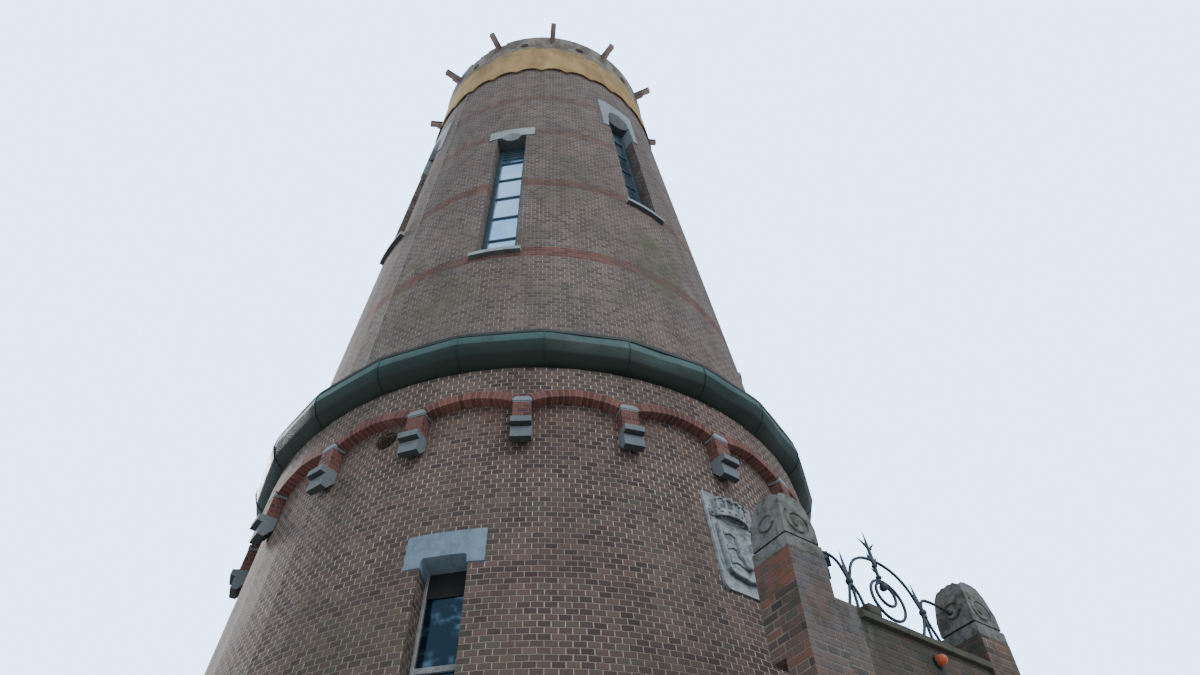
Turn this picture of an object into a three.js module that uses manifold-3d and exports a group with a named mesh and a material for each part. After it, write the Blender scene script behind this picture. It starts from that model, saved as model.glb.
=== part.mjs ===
// Round brick water tower with its tank gone: a battered drum and shaft, a green metal ledge over a
// brick arcade, tall steel windows, stubs of the tank's beams at the top and a walled entrance porch.
// Millimetres, +Z up. The origin is on the ground at the tower's axis; angles run from -Y towards +X.
import * as THREE from 'three';
import { mergeVertices } from 'three/addons/utils/BufferGeometryUtils.js';
import Module from 'manifold-3d';

const wasm = await Module();
wasm.setup();

// Tower
const BASE_RADIUS = 4220;
const BATTER = 0.113;
const STEPS = 60;
const GAP = 0.3;
const SLIVER = 0.01;
const DRUM_TOP = 8620;
const SHAFT_TOP = 18000;
const DRUM_THICK = 600;
const SHAFT_THICK = 400;
const DRUM_SPLIT = -57.8;
const SHAFT_SPLIT = 10.5;
const FLOOR_THICK = 200;
const FIRST_FLOOR_TOP = 4300;
const SIDES = 4;

// Windows: heights are measured up the wall from the sill
const WINDOW_AXIS = -12;
const LOW_WINDOW = {
  axes: [0, 93, 180, 270].map((turn) => WINDOW_AXIS + turn), sill: 11250, half: 274, height: 3680,
  glass: 3290, sillHalf: 342, headHalf: 370, headTop: 3960, soffit: 3680, bar: 80,
  scoop: { half: 160, rise: 112, slope: 1.45 },
};
const HIGH_WINDOW = {
  axes: [45.8, 135, 225, 315].map((turn) => WINDOW_AXIS + turn), sill: 13200, half: 268, height: 2790,
  glass: 2845, sillHalf: 345, headHalf: 370, headTop: 3890, soffit: 3270, bar: 75,
  scoop: { half: 216, rise: 272, slope: 2.6 },
};
const DRUM_WINDOW = {
  axes: [-0.9, 89.1, 179.1, 269.1].map((turn) => WINDOW_AXIS + turn), sill: 4450, half: 221, height: 1680,
  glass: 1500, sillHalf: 330, headHalf: 350, headTop: 2040, soffit: 1775, bar: 30,
  corner: 35,
};
const SILL_THICK = 80;
const SILL_OUT = 90;
const HEAD_OUT = 12;
const STONE_DEPTH = 300;
const FRAME_FRONT = 200;
const FRAME_BACK = 260;
const PANE_THICK = 8;

// Arcade and ledge
const BAYS = 20;
const BAY_START = WINDOW_AXIS - 54;
const ARCADE_OUT = 120;
const ARCADE_FOOT = 8020;
const ARCADE_TOP = 8590;
const ARCH_SPRING = 8045;
const ARCH_RISE = 97;
const CORBEL_WIDTH = 184;
const BRACKET_WIDTH = 205;
const LEDGE_SIDES = 24;
const LEDGE_CORNER = 0.5;

// Top of the shaft
const OCHRE_TOP = 19120;
const RIM_TOP = 19590;
const OCHRE_FOOT_RADIUS = 2240;
const OCHRE_LIP = 17860;
const SCALLOPS = 30;
const SCALLOP_START = 4.2;
const SCALLOP_RISE = 110;
const RIM_RADIUS = 2112;
const RIM_INSIDE = 1780;
const HOLE_HEIGHT = 19250;
const HOLE_RADIUS = 88;
const BEAM_AXIS = 3.5;
const BEAMS = 12;
const UPPER_BEAM = { low: 19440, deep: 100, wide: 100, web: 14, reach: 2435 };
const LOWER_BEAM = { low: 19340, deep: 70, wide: 56, web: 12, reach: 2275 };
const DECK_LOW = 19150;
const DECK_THICK = 130;

// Porch
const DOOR_AXIS = 32.2;
const PORCH_FRONT = 5030;
const PIERS = [
  { word: 'left', side: -1, x: -1000, top: 5290 },
  { word: 'right', side: 1, x: 970, top: 5235 },
];
const PIER_WIDTH = 350;
const PIER_STEP = 4565;   // below this the piers are only as deep as the wall
const PORCH_WALL = 220;
const FRONT_WALL_TOP = 4940;
const SIDE_WALL_TOP = 4150;
const COPING_LEFT = -570;
const COPING_TOP = 5080;
const DOOR_HALF = 480;
const DOOR_SPRING = 2150;
const DOOR_RISE = 160;

// Colours, roughness and metalness
const LOOKS = {
  brick: { color: 0x6f6560, roughness: 0.93, metalness: 0 },
  pierBrick: { color: 0x6c5a53, roughness: 0.93, metalness: 0 },
  ledgeMetal: { color: 0x54756c, roughness: 0.55, metalness: 0.2 },
  ochre: { color: 0xb09a72, roughness: 0.9, metalness: 0 },
  weathered: { color: 0x77736a, roughness: 0.95, metalness: 0 },
  rust: { color: 0x4d3a35, roughness: 0.85, metalness: 0.4 },
  window: { color: 0x36515c, roughness: 0.4, metalness: 0.2 },
  concrete: { color: 0x8d8c87, roughness: 0.9, metalness: 0 },
  stone: { color: 0x9aa5a8, roughness: 0.85, metalness: 0 },
  capStone: { color: 0x7c8780, roughness: 0.9, metalness: 0 },
  iron: { color: 0x2f404a, roughness: 0.55, metalness: 0.6 },
  zinc: { color: 0x8a9690, roughness: 0.6, metalness: 0.4 },
  door: { color: 0x2f4b44, roughness: 0.6, metalness: 0 },
  lamp: { color: 0xc8612a, roughness: 0.35, metalness: 0 },
};

const rad = THREE.MathUtils.degToRad;
const wallRadius = (z) => BASE_RADIUS - BATTER * z;
const LEAN = -Math.atan(BATTER);
const group = new THREE.Group();

// A closed geometry as a boolean solid, faces turned outwards
function solid(geometry) {
  const bare = geometry.clone();
  bare.deleteAttribute('normal');
  bare.deleteAttribute('uv');
  const merged = mergeVertices(bare, 0.002);
  const p = merged.attributes.position;
  const index = merged.index.array;
  const tri = [];
  let volume = 0;
  const a = new THREE.Vector3(), b = new THREE.Vector3(), c = new THREE.Vector3();
  for (let i = 0; i < index.length; i += 3) {
    const [u, v, w] = [index[i], index[i + 1], index[i + 2]];
    if (u === v || v === w || u === w) continue;
    tri.push(u, v, w);
    a.fromBufferAttribute(p, u);
    b.fromBufferAttribute(p, v);
    c.fromBufferAttribute(p, w);
    volume += a.dot(b.cross(c));
  }
  if (volume < 0) {
    for (let i = 0; i < tri.length; i += 3) [tri[i], tri[i + 1]] = [tri[i + 1], tri[i]];
  }
  const vertProperties = new Float32Array(p.array);
  return new wasm.Manifold(new wasm.Mesh({ numProp: 3, vertProperties, triVerts: new Uint32Array(tri) }));
}

// Adds a node, its slivers from the boolean cuts merged away
function add(name, body, look) {
  const mesh = body.asOriginal().simplify(SLIVER).getMesh();
  const geometry = new THREE.BufferGeometry();
  geometry.setAttribute('position', new THREE.BufferAttribute(new Float32Array(mesh.vertProperties), 3));
  geometry.setIndex(new THREE.BufferAttribute(new Uint32Array(mesh.triVerts), 1));
  geometry.computeVertexNormals();
  const node = new THREE.Mesh(geometry, new THREE.MeshStandardMaterial(LOOKS[look]));
  node.name = name;
  group.add(node);
}

// Box between two corners, in the frame of the given matrix
function box(x0, x1, y0, y1, z0, z1, matrix = new THREE.Matrix4()) {
  const geometry = new THREE.BoxGeometry(x1 - x0, y1 - y0, z1 - z0);
  geometry.translate((x0 + x1) / 2, (y0 + y1) / 2, (z0 + z1) / 2);
  return solid(geometry.applyMatrix4(matrix));
}

// Outline in x and z pushed from y0 to y1
function prism(shape, y0, y1, matrix = new THREE.Matrix4(), curveSegments = 8) {
  const geometry = new THREE.ExtrudeGeometry(shape, { depth: y1 - y0, bevelEnabled: false, curveSegments });
  geometry.rotateX(Math.PI / 2).translate(0, y1, 0);
  return solid(geometry.applyMatrix4(matrix));
}

// Outline in y and z pushed from x0 to x1
function alongX(shape, x0, x1, matrix) {
  const geometry = new THREE.ExtrudeGeometry(shape, { depth: x1 - x0, bevelEnabled: false });
  geometry.applyMatrix4(new THREE.Matrix4().makeBasis(new THREE.Vector3(0, 1, 0),
    new THREE.Vector3(0, 0, 1), new THREE.Vector3(1, 0, 0))).translate(x0, 0, 0);
  return solid(geometry.applyMatrix4(matrix));
}

function outline(points) {
  return new THREE.Shape(points.map(([x, y]) => new THREE.Vector2(x, y)));
}

// Points of a segmental arch from left to right
function archPoints(half, spring, rise, steps = 8) {
  const radius = (half * half + rise * rise) / (2 * rise);
  const reach = Math.asin(Math.min(1, half / radius));
  const points = [];
  for (let i = 0; i <= steps; i += 1) {
    const angle = -reach + (2 * reach * i) / steps;
    points.push([radius * Math.sin(angle), spring + rise - radius + radius * Math.cos(angle)]);
  }
  return points;
}

// Full turn of a closed outline of [radius, height]
function ring(points, steps = STEPS, start = 0) {
  const closed = [...points, points[0]].map(([r, z]) => new THREE.Vector2(r, z));
  return solid(new THREE.LatheGeometry(closed, steps, rad(start), Math.PI * 2).rotateX(Math.PI / 2));
}

// Disc whose edge follows the inside of the wall
function slab(z0, z1, thick) {
  const low = wallRadius(z0) - thick - GAP;
  const high = wallRadius(z1) - thick - GAP;
  const points = [[0, z0], [low, z0], [high, z1], [0, z1]].map(([r, z]) => new THREE.Vector2(r, z));
  return solid(new THREE.LatheGeometry(points, STEPS).rotateX(Math.PI / 2));
}

// Everything inside the wall's outer face, grown by a clearance
function filledCone(z0, z1, grow) {
  const points = [[0, z0], [wallRadius(z0) + grow, z0], [wallRadius(z1) + grow, z1], [0, z1]];
  return solid(new THREE.LatheGeometry(points.map(([r, z]) => new THREE.Vector2(r, z)), STEPS)
    .rotateX(Math.PI / 2));
}

const direction = (angle) => [Math.sin(rad(angle)), -Math.cos(rad(angle))];

// Upright wedge from the axis between two angles, short of both by half a gap
function wedge(a0, a1, z0, z1) {
  const middle = (a0 + a1) / 2;
  const inset = GAP / 2 / Math.sin(rad((a1 - a0) / 2));
  const [mx, my] = direction(middle);
  const far = 12000;
  const points = [[0, 0], direction(a0).map((v) => v * far), direction(middle).map((v) => v * far),
    direction(a1).map((v) => v * far)];
  const shape = outline(points.map(([x, y]) => [x + mx * inset, y + my * inset]));
  const geometry = new THREE.ExtrudeGeometry(shape, { depth: z1 - z0, bevelEnabled: false });
  return solid(geometry.translate(0, 0, z0));
}

// Frame of a thing on the wall's face: x sideways, y into the wall, z up the wall
function onWall(angle, z) {
  return new THREE.Matrix4().makeRotationZ(rad(angle))
    .multiply(new THREE.Matrix4().makeTranslation(0, -wallRadius(z), z))
    .multiply(new THREE.Matrix4().makeRotationX(LEAN));
}

function turned(angle) {
  return new THREE.Matrix4().makeRotationZ(rad(angle));
}

// Upright piece of a window between two heights, narrowing upwards as the tower does
function narrowing(w, [x0, x1], [y0, y1], [z0, z1], at) {
  const k = (z) => wallRadius(w.sill + z) / wallRadius(w.sill);
  return prism(outline([[x0 * k(z0), z0], [x1 * k(z0), z0], [x1 * k(z1), z1], [x0 * k(z1), z1]]), y0, y1, at);
}

// Hole in the wall for a window with its sill and head stones
function windowHole(w, angle) {
  const at = onWall(angle, w.sill);
  const g = GAP;
  return narrowing(w, [-w.half, w.half], [-400, 900], [-1, w.height + 1], at)
    .add(box(-w.sillHalf - g, w.sillHalf + g, -400, STONE_DEPTH + g, -SILL_THICK - g, g, at))
    .add(box(-w.headHalf - g, w.headHalf + g, -400, STONE_DEPTH + g, w.height - g, w.headTop + g, at));
}

// Head stone: a flat soffit with rounded corners, or one with an arched hollow sloping up to the face
function headStone(w, at) {
  const { soffit, corner, scoop } = w;
  const foot = w.height - 50;
  let stone = box(-w.headHalf, w.headHalf, -400, STONE_DEPTH, w.height, w.headTop, at).intersect(headClear);
  if (corner) {
    const half = w.half - 20;
    stone = stone.subtract(prism(outline([[-half, foot], [-half, soffit - corner], [-half + corner, soffit],
      [half - corner, soffit], [half, soffit - corner], [half, foot]]), -400, 900, at));
  } else if (soffit > w.height) {
    stone = stone.subtract(narrowing(w, [-w.half, w.half], [-400, 900], [foot, soffit], at));
  }
  if (scoop) {
    const { half, rise, slope } = scoop;
    const oblique = at.clone().multiply(new THREE.Matrix4().makeTranslation(0, 0, -slope * HEAD_OUT))
      .multiply(new THREE.Matrix4().makeShear(0, 0, 0, -slope, 0, 0));
    stone = stone.subtract(prism(outline([[-half, soffit - 15], ...archPoints(half, soffit - 5, rise + 5),
      [half, soffit - 15]]), -400, STONE_DEPTH - 20, oblique));
  }
  return stone;
}

// Sill, steel frame with its pane and top panel, and head stone, all joined
function windowBody(w, angle) {
  const at = onWall(angle, w.sill);
  const half = w.half - GAP;
  const inner = half - w.bar;
  const top = w.soffit + 8;
  const across = (z0, z1, inset) => narrowing(w, [-inner - 5, inner + 5],
    [FRAME_FRONT + inset, FRAME_BACK - inset], [z0, z1], at);
  let body = box(-w.sillHalf, w.sillHalf, -SILL_OUT, STONE_DEPTH, -SILL_THICK, 0, at).add(headStone(w, at));
  for (const side of [-1, 1]) {
    const [x0, x1] = side < 0 ? [-half, -inner] : [inner, half];
    body = body.add(narrowing(w, [x0, x1], [FRAME_FRONT, FRAME_BACK], [-10, top], at));
  }
  return body.add(across(-10, w.bar, 0)).add(across(w.glass, w.glass + w.bar, 0))
    .add(across(w.glass + 20, top, 12)).add(across(20, w.glass + 20, (FRAME_BACK - FRAME_FRONT - PANE_THICK) / 2));
}

function quarterAngles(start, i) {
  return [start + i * 90, start + (i + 1) * 90];
}

const headClear = filledCone(4000, 18500, HEAD_OUT);
const windows = [
  ['drum_window', DRUM_WINDOW], ['low_window', LOW_WINDOW], ['high_window', HIGH_WINDOW],
];

// Doorway outline in the porch's own frame, also cut through the drum
const doorOutline = outline([[-DOOR_HALF, FLOOR_THICK], ...archPoints(DOOR_HALF, DOOR_SPRING, DOOR_RISE),
  [DOOR_HALF, FLOOR_THICK]]);
const porch = turned(DOOR_AXIS);

// Slab of carved stone on the wall over the porch
const RELIEF = { z: 6080, half: 305, tall: 1175, out: 12, back: 40, chamfer: 50 };
function reliefBody() {
  const { half, tall, chamfer, out, back } = RELIEF;
  const at = onWall(DOOR_AXIS, RELIEF.z);
  let body = prism(outline([[-half + chamfer, 0], [half - chamfer, 0], [half, chamfer], [half, tall],
    [-half, tall], [-half, chamfer]]), -out, back, at);
  const shield = new THREE.Shape();
  shield.moveTo(-230, 790);
  shield.lineTo(230, 790);
  shield.lineTo(230, 400);
  shield.bezierCurveTo(230, 260, 100, 220, 0, 130);
  shield.bezierCurveTo(-100, 220, -230, 260, -230, 400);
  body = body.add(prism(shield, -out - 30, -out + 5, at));
  body = body.add(prism(outline([[-185, 850], [185, 850], [205, 1060], [105, 960], [0, 1080], [-105, 960],
    [-205, 1060]]), -out - 25, -out + 5, at));
  return body;
}

// Round hole under one arch of the arcade
const ROUND_HOLE = { angle: -27.7, z: 7940, radius: 125 };
const roundHole = new THREE.CylinderGeometry(ROUND_HOLE.radius, ROUND_HOLE.radius, 1600, 16)
  .applyMatrix4(onWall(ROUND_HOLE.angle, ROUND_HOLE.z));

// Drum walls in quarters, split at the doorway's axis
const doorCut = prism(doorOutline, -6000, -2500, porch);
for (let i = 0; i < SIDES; i += 1) {
  const [a0, a1] = quarterAngles(DRUM_SPLIT, i);
  let wall = ring([[wallRadius(0), 0], [wallRadius(DRUM_TOP), DRUM_TOP],
    [wallRadius(DRUM_TOP) - DRUM_THICK, DRUM_TOP], [wallRadius(0) - DRUM_THICK, 0]])
    .intersect(wedge(a0, a1, -10, DRUM_TOP + 10));
  wall = wall.subtract(windowHole(DRUM_WINDOW, DRUM_WINDOW.axes[i]));
  if (i === 0) wall = wall.subtract(solid(roundHole));
  if (i < 2) {
    const at = onWall(DOOR_AXIS, RELIEF.z);
    wall = wall.subtract(doorCut)
      .subtract(box(-RELIEF.half - GAP, RELIEF.half + GAP, -400, RELIEF.back + GAP, -GAP, RELIEF.tall + GAP, at));
  }
  add(`drum_wall_${i + 1}`, wall, 'brick');
}

// Shaft walls in quarters, each with one low and one high window
for (let i = 0; i < SIDES; i += 1) {
  const [a0, a1] = quarterAngles(SHAFT_SPLIT, i);
  const foot = DRUM_TOP + GAP;
  let wall = ring([[wallRadius(foot), foot], [wallRadius(SHAFT_TOP), SHAFT_TOP],
    [wallRadius(SHAFT_TOP) - SHAFT_THICK, SHAFT_TOP], [wallRadius(foot) - SHAFT_THICK, foot]])
    .intersect(wedge(a0, a1, foot - 10, SHAFT_TOP + 10));
  wall = wall.subtract(windowHole(HIGH_WINDOW, HIGH_WINDOW.axes[i]))
    .subtract(windowHole(LOW_WINDOW, LOW_WINDOW.axes[(i + 1) % SIDES]));
  add(`shaft_wall_${i + 1}`, wall, 'brick');
}

for (const [name, w] of windows) {
  w.axes.forEach((angle, i) => add(`${name}_${i + 1}`, windowBody(w, angle), 'window'));
}
add('relief_slab', reliefBody(), 'stone');

// Arcade of brick arches on corbels, five bays to a piece
const bay = 360 / BAYS;
const bays = Array.from({ length: BAYS }, (unused, i) => BAY_START + i * bay);
const span = (rad(bay) * (wallRadius(ARCADE_FOOT) + ARCADE_OUT) - CORBEL_WIDTH) / 2;
const arcadeOuter = (z) => wallRadius(z) + ARCADE_OUT;
const drumClear = filledCone(7000, 9500, GAP);
function corbel(angle) {
  const at = onWall(angle, ARCADE_FOOT);
  const w = CORBEL_WIDTH / 2;
  const b = BRACKET_WIDTH / 2;
  const profile = outline([[0, -423], [-75, -542], [-145, -540], [-145, -400], [-130, -385], [-200, -385],
    [-200, -308], [-100, -280], [0, -280]]);
  const bracket = new THREE.ExtrudeGeometry(profile, { depth: 2 * b, bevelEnabled: false });
  bracket.applyMatrix4(new THREE.Matrix4().makeBasis(new THREE.Vector3(0, 1, 0),
    new THREE.Vector3(0, 0, 1), new THREE.Vector3(1, 0, 0))).translate(-b, 0, 0);
  const cap = outline([[-w - 4, 0], [w + 4, 0], [w + 4, 45], [w - 25, 75], [-w + 25, 75], [-w - 4, 45]]);
  return solid(bracket.applyMatrix4(at))
    .add(box(-w, w, -ARCADE_OUT - 12, 40, -290, 1, at))
    .add(prism(cap, -ARCADE_OUT - 18, 40, at));
}
const fullArcade = ring([[wallRadius(ARCADE_FOOT) - 50, ARCADE_FOOT], [arcadeOuter(ARCADE_FOOT), ARCADE_FOOT],
  [arcadeOuter(ARCADE_TOP), ARCADE_TOP], [wallRadius(ARCADE_TOP) - 50, ARCADE_TOP]]);
for (let i = 0; i < SIDES; i += 1) {
  const perSide = BAYS / SIDES;
  const first = bays[i * perSide];
  let piece = fullArcade.intersect(wedge(first, first + perSide * bay, 7000, 9500));
  for (let k = 0; k <= perSide; k += 1) {
    const arch = outline([[-span, ARCADE_FOOT - 60], ...archPoints(span, ARCH_SPRING, ARCH_RISE),
      [span, ARCADE_FOOT - 60]]);
    piece = piece.subtract(prism(arch, -4500, -2500, turned(first + k * bay)));
  }
  for (let k = 0; k < perSide; k += 1) piece = piece.add(corbel(first + (k + 0.5) * bay));
  add(`arcade_${i + 1}`, piece.subtract(drumClear), 'brick');
}

// Metal-clad ledge with many flat sides
const ledge = ring([[3000, ARCADE_TOP + GAP], [3400, ARCADE_TOP + GAP], [3535, 8705], [3553, 8950],
  [3540, 8985], [3190, 9060], [3000, 9060]], LEDGE_SIDES, LEDGE_CORNER).subtract(filledCone(8000, 9500, GAP));
add('ledge', ledge, 'ledgeMetal');

// Plaster band in quarters, its scalloped lip hanging over the wall's face
const bandFoot = SHAFT_TOP + GAP;
const lipRadius = (z) => wallRadius(z) + GAP;
let band = ring([[RIM_INSIDE, bandFoot], [lipRadius(bandFoot), bandFoot], [lipRadius(OCHRE_LIP), OCHRE_LIP],
  [OCHRE_FOOT_RADIUS, OCHRE_LIP], [RIM_RADIUS + 4, OCHRE_TOP], [RIM_INSIDE, OCHRE_TOP]]);
const scallopHalf = OCHRE_FOOT_RADIUS * Math.tan(rad(180 / SCALLOPS)) - 8;
const scallop = prism(outline([[-scallopHalf, OCHRE_LIP - 30],
  ...archPoints(scallopHalf, OCHRE_LIP - 1, SCALLOP_RISE, 4), [scallopHalf, OCHRE_LIP - 30]]), -2600, -2100);
for (let i = 0; i < SCALLOPS; i += 1) {
  band = band.subtract(scallop.transform(turned(SCALLOP_START + (i * 360) / SCALLOPS).elements));
}
for (let i = 0; i < SIDES; i += 1) {
  const [a0, a1] = quarterAngles(SHAFT_SPLIT, i);
  add(`ochre_band_${i + 1}`, band.intersect(wedge(a0, a1, OCHRE_LIP - 50, OCHRE_TOP + 50)), 'ochre');
}

// Rolled section of a beam, lying along y
function beam(section, y0, y1, angle, grow = 0) {
  const { low, deep, wide, web } = section;
  const w = wide / 2 + grow;
  const t = web / 2 + grow;
  const z0 = low - grow;
  const z1 = low + deep + grow;
  const f = web + 2 * grow;
  const shape = grow > 0 ? outline([[-w, z0], [w, z0], [w, z1], [-w, z1]])
    : outline([[-w, z0], [w, z0], [w, z0 + f], [t, z0 + f], [t, z1 - f], [w, z1 - f], [w, z1], [-w, z1],
      [-w, z1 - f], [-t, z1 - f], [-t, z0 + f], [-w, z0 + f]]);
  return prism(shape, y0, y1, turned(angle));
}
const HUB = 320;
function beamStar(section) {
  const { low, deep } = section;
  let star = ring([[HUB - 80, low], [HUB, low], [HUB, low + deep], [HUB - 80, low + deep]], 24);
  for (let i = 0; i < BEAMS; i += 1) {
    star = star.add(beam(section, -section.reach, -HUB + 30, BEAM_AXIS + (i * 360) / BEAMS));
  }
  return star;
}
// Weathered ring with round holes between the beams
let rim = ring([[RIM_INSIDE, OCHRE_TOP + GAP], [RIM_RADIUS, OCHRE_TOP + GAP], [RIM_RADIUS, RIM_TOP],
  [RIM_INSIDE, RIM_TOP]]);
for (let i = 0; i < BEAMS; i += 1) {
  const angle = BEAM_AXIS + (i * 360) / BEAMS;
  rim = rim.subtract(beam(UPPER_BEAM, -2600, -1500, angle, GAP))
    .subtract(beam(LOWER_BEAM, -2600, -1500, angle, GAP));
  const hole = new THREE.CylinderGeometry(HOLE_RADIUS, HOLE_RADIUS, 900, 8)
    .translate(0, -RIM_RADIUS, HOLE_HEIGHT);
  rim = rim.subtract(solid(hole.applyMatrix4(turned(angle + 180 / BEAMS))));
}
// Broken edge where pieces of the rim are missing
for (const [angle, half, deep] of [[-42, 120, 70], [-36, 90, 45], [-24, 70, 60], [71, 80, 50]]) {
  rim = rim.subtract(box(-half, half, -2600, -1950, RIM_TOP - deep, RIM_TOP + 100, turned(angle)));
}
add('top_ring', rim, 'weathered');
add('upper_beams', beamStar(UPPER_BEAM), 'rust');
add('lower_beams', beamStar(LOWER_BEAM), 'rust');

// Floors
add('ground_floor', slab(0, FLOOR_THICK, DRUM_THICK), 'concrete');
add('first_floor', slab(FIRST_FLOOR_TOP - FLOOR_THICK, FIRST_FLOOR_TOP, DRUM_THICK), 'concrete');
add('ledge_floor', slab(DRUM_TOP + GAP, DRUM_TOP + FLOOR_THICK, SHAFT_THICK), 'concrete');
const deckTop = DECK_LOW + DECK_THICK;
add('roof_deck', ring([[0.01, DECK_LOW], [RIM_INSIDE - GAP, DECK_LOW], [RIM_INSIDE - GAP, deckTop],
  [0.01, deckTop]]), 'concrete');

// Lightning conductor down the left of the shaft
const CONDUCTOR = { angle: -40.5, low: 9100, length: 8780, stand: 35, radius: 9 };
function conductorBody() {
  const at = onWall(CONDUCTOR.angle, CONDUCTOR.low);
  const rod = new THREE.CylinderGeometry(CONDUCTOR.radius, CONDUCTOR.radius, CONDUCTOR.length, 6)
    .rotateX(Math.PI / 2).translate(0, -CONDUCTOR.stand, CONDUCTOR.length / 2);
  let body = solid(rod.applyMatrix4(at));
  for (let z = 300; z < CONDUCTOR.length; z += 1200) body = body.add(box(-12, 12, -48, 10, z - 12, z + 12, at));
  return body.subtract(filledCone(8000, 18500, GAP));
}
add('conductor', conductorBody(), 'zinc');

// Porch piers with their caps and the side walls behind them
const front = -PORCH_FRONT;
const lowerBack = front + PORCH_WALL;
const pierHalf = PIER_WIDTH / 2;
const drumFace = filledCone(-10, 9000, GAP);
for (const { word, side, x, top } of PIERS) {
  const [x0, x1] = [x - pierHalf, x + pierHalf];
  const pierSide = outline([[front, 0], [lowerBack, 0], [lowerBack, PIER_STEP], [front + PIER_WIDTH, PIER_STEP],
    [front + PIER_WIDTH, top], [front, top]]);
  add(`porch_pier_${word}`, alongX(pierSide, x0, x1, porch), 'pierBrick');
  const [s0, s1] = side < 0 ? [x0, x0 + PORCH_WALL] : [x1 - PORCH_WALL, x1];
  add(`porch_side_${word}`, box(s0, s1, lowerBack + GAP, -3500, 0, SIDE_WALL_TOP, porch)
    .subtract(drumFace), 'pierBrick');
  add(`pier_cap_${word}`, pierCap(x, front + pierHalf, top + GAP), 'capStone');
}

// Stone cap: slab, groove, then two crossed barrels that taper, with a ring and a boss on every face
function pierCap(x, y, z) {
  const at = turned(DOOR_AXIS).multiply(new THREE.Matrix4().makeTranslation(x, y, z));
  const across = at.clone().multiply(new THREE.Matrix4().makeRotationZ(Math.PI / 2));
  const half = pierHalf - 12;
  const corner = Math.SQRT2;
  const taper = new THREE.LatheGeometry([[0, 130], [half * corner, 130], [half * corner, 250],
    [125 * corner, 530], [0, 530]].map(([r, h]) => new THREE.Vector2(r, h)), 4, Math.PI / 4);
  const barrel = outline([[-half, 130], [-half, 340], [-150, 380], ...archPoints(149, 381, 149, 8),
    [150, 380], [half, 340], [half, 130]]);
  const vault = prism(barrel, -half, half, at).add(prism(barrel, -half, half, across))
    .intersect(solid(taper.rotateX(Math.PI / 2).applyMatrix4(at)));
  let cap = box(-pierHalf, pierHalf, -pierHalf, pierHalf, 0, 115, at)
    .add(box(-half + 10, half - 10, -half + 10, half - 10, 110, 145, at)).add(vault);
  for (const [frame, radius, height] of [[at, 112, 255], [across, 74, 285]]) {
    const bead = new THREE.TorusGeometry(radius - 14, 14, 4, 12).rotateX(Math.PI / 2);
    const boss = new THREE.CylinderGeometry(radius * 0.45, radius * 0.5, 30, 8);
    for (const face of [-1, 1]) {
      for (const carved of [bead, boss]) {
        const placed = carved.clone().rotateX(face * rad(-4)).translate(0, face * (half - 7), height);
        cap = cap.add(solid(placed.applyMatrix4(frame)));
      }
    }
  }
  return cap;
}

// Front wall between the piers, higher left of the coping
const [wallLeft, wallRight] = [PIERS[0].x + pierHalf + GAP, PIERS[1].x - pierHalf - GAP];
const wallFront = front + 30;
const wallBack = wallFront + PORCH_WALL;
add('porch_front_wall', box(wallLeft, wallRight, wallFront, wallBack, 0, FRONT_WALL_TOP, porch)
  .add(box(wallLeft, COPING_LEFT - GAP, wallFront, wallBack, FRONT_WALL_TOP - 50, FRONT_WALL_TOP + 90, porch))
  .subtract(prism(doorOutline, front - 50, wallBack + 50, porch))
  .subtract(box(-DOOR_HALF, DOOR_HALF, front - 50, wallBack + 50, -10, FLOOR_THICK + 1, porch)), 'pierBrick');

// Floor of the porch, run out through the doorway as a step
const insideLeft = PIERS[0].x - pierHalf + PORCH_WALL + GAP;
const insideRight = PIERS[1].x + pierHalf - PORCH_WALL - GAP;
add('porch_floor', box(insideLeft, insideRight, wallBack + GAP, -3400, 0, FLOOR_THICK, porch)
  .subtract(drumFace)
  .add(box(-DOOR_HALF + GAP, DOOR_HALF - GAP, front - 280, wallBack + 5, 0, FLOOR_THICK, porch)), 'concrete');

// Door leaf of plain boards
const leafHalf = DOOR_HALF - GAP;
const leafFoot = FLOOR_THICK + GAP;
const leaf = outline([[-leafHalf, leafFoot], ...archPoints(leafHalf, DOOR_SPRING, DOOR_RISE - GAP),
  [leafHalf, leafFoot]]);
add('porch_door', prism(leaf, wallFront + 90, wallFront + 135, porch)
  .add(box(330, 350, wallFront + 50, wallFront + 95, 1180, 1330, porch)), 'door');

// Metal roof between porch and drum, under the step of the piers
const roofLow = SIDE_WALL_TOP + GAP;
const roofHigh = roofLow + 140;
const eaves = pierHalf + 40;
add('porch_roof', box(PIERS[0].x - eaves, PIERS[1].x + eaves, wallBack + GAP, -3300, roofLow, roofHigh, porch)
  .subtract(drumFace), 'zinc');

// Coping with a ridge and a small lump of stone left on it
const copingFoot = FRONT_WALL_TOP + GAP;
const copingFront = front - 12;
const ridge = outline([[copingFront, copingFoot], [wallBack + 20, copingFoot], [wallBack + 20, 5018],
  [wallFront + 130, COPING_TOP], [wallFront + 60, COPING_TOP], [copingFront, 5018]]);
add('parapet_coping', alongX(ridge, COPING_LEFT, wallRight, porch)
  .add(box(-490, -340, copingFront + 7, wallFront + 70, 5000, 5095, porch)), 'capStone');

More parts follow.
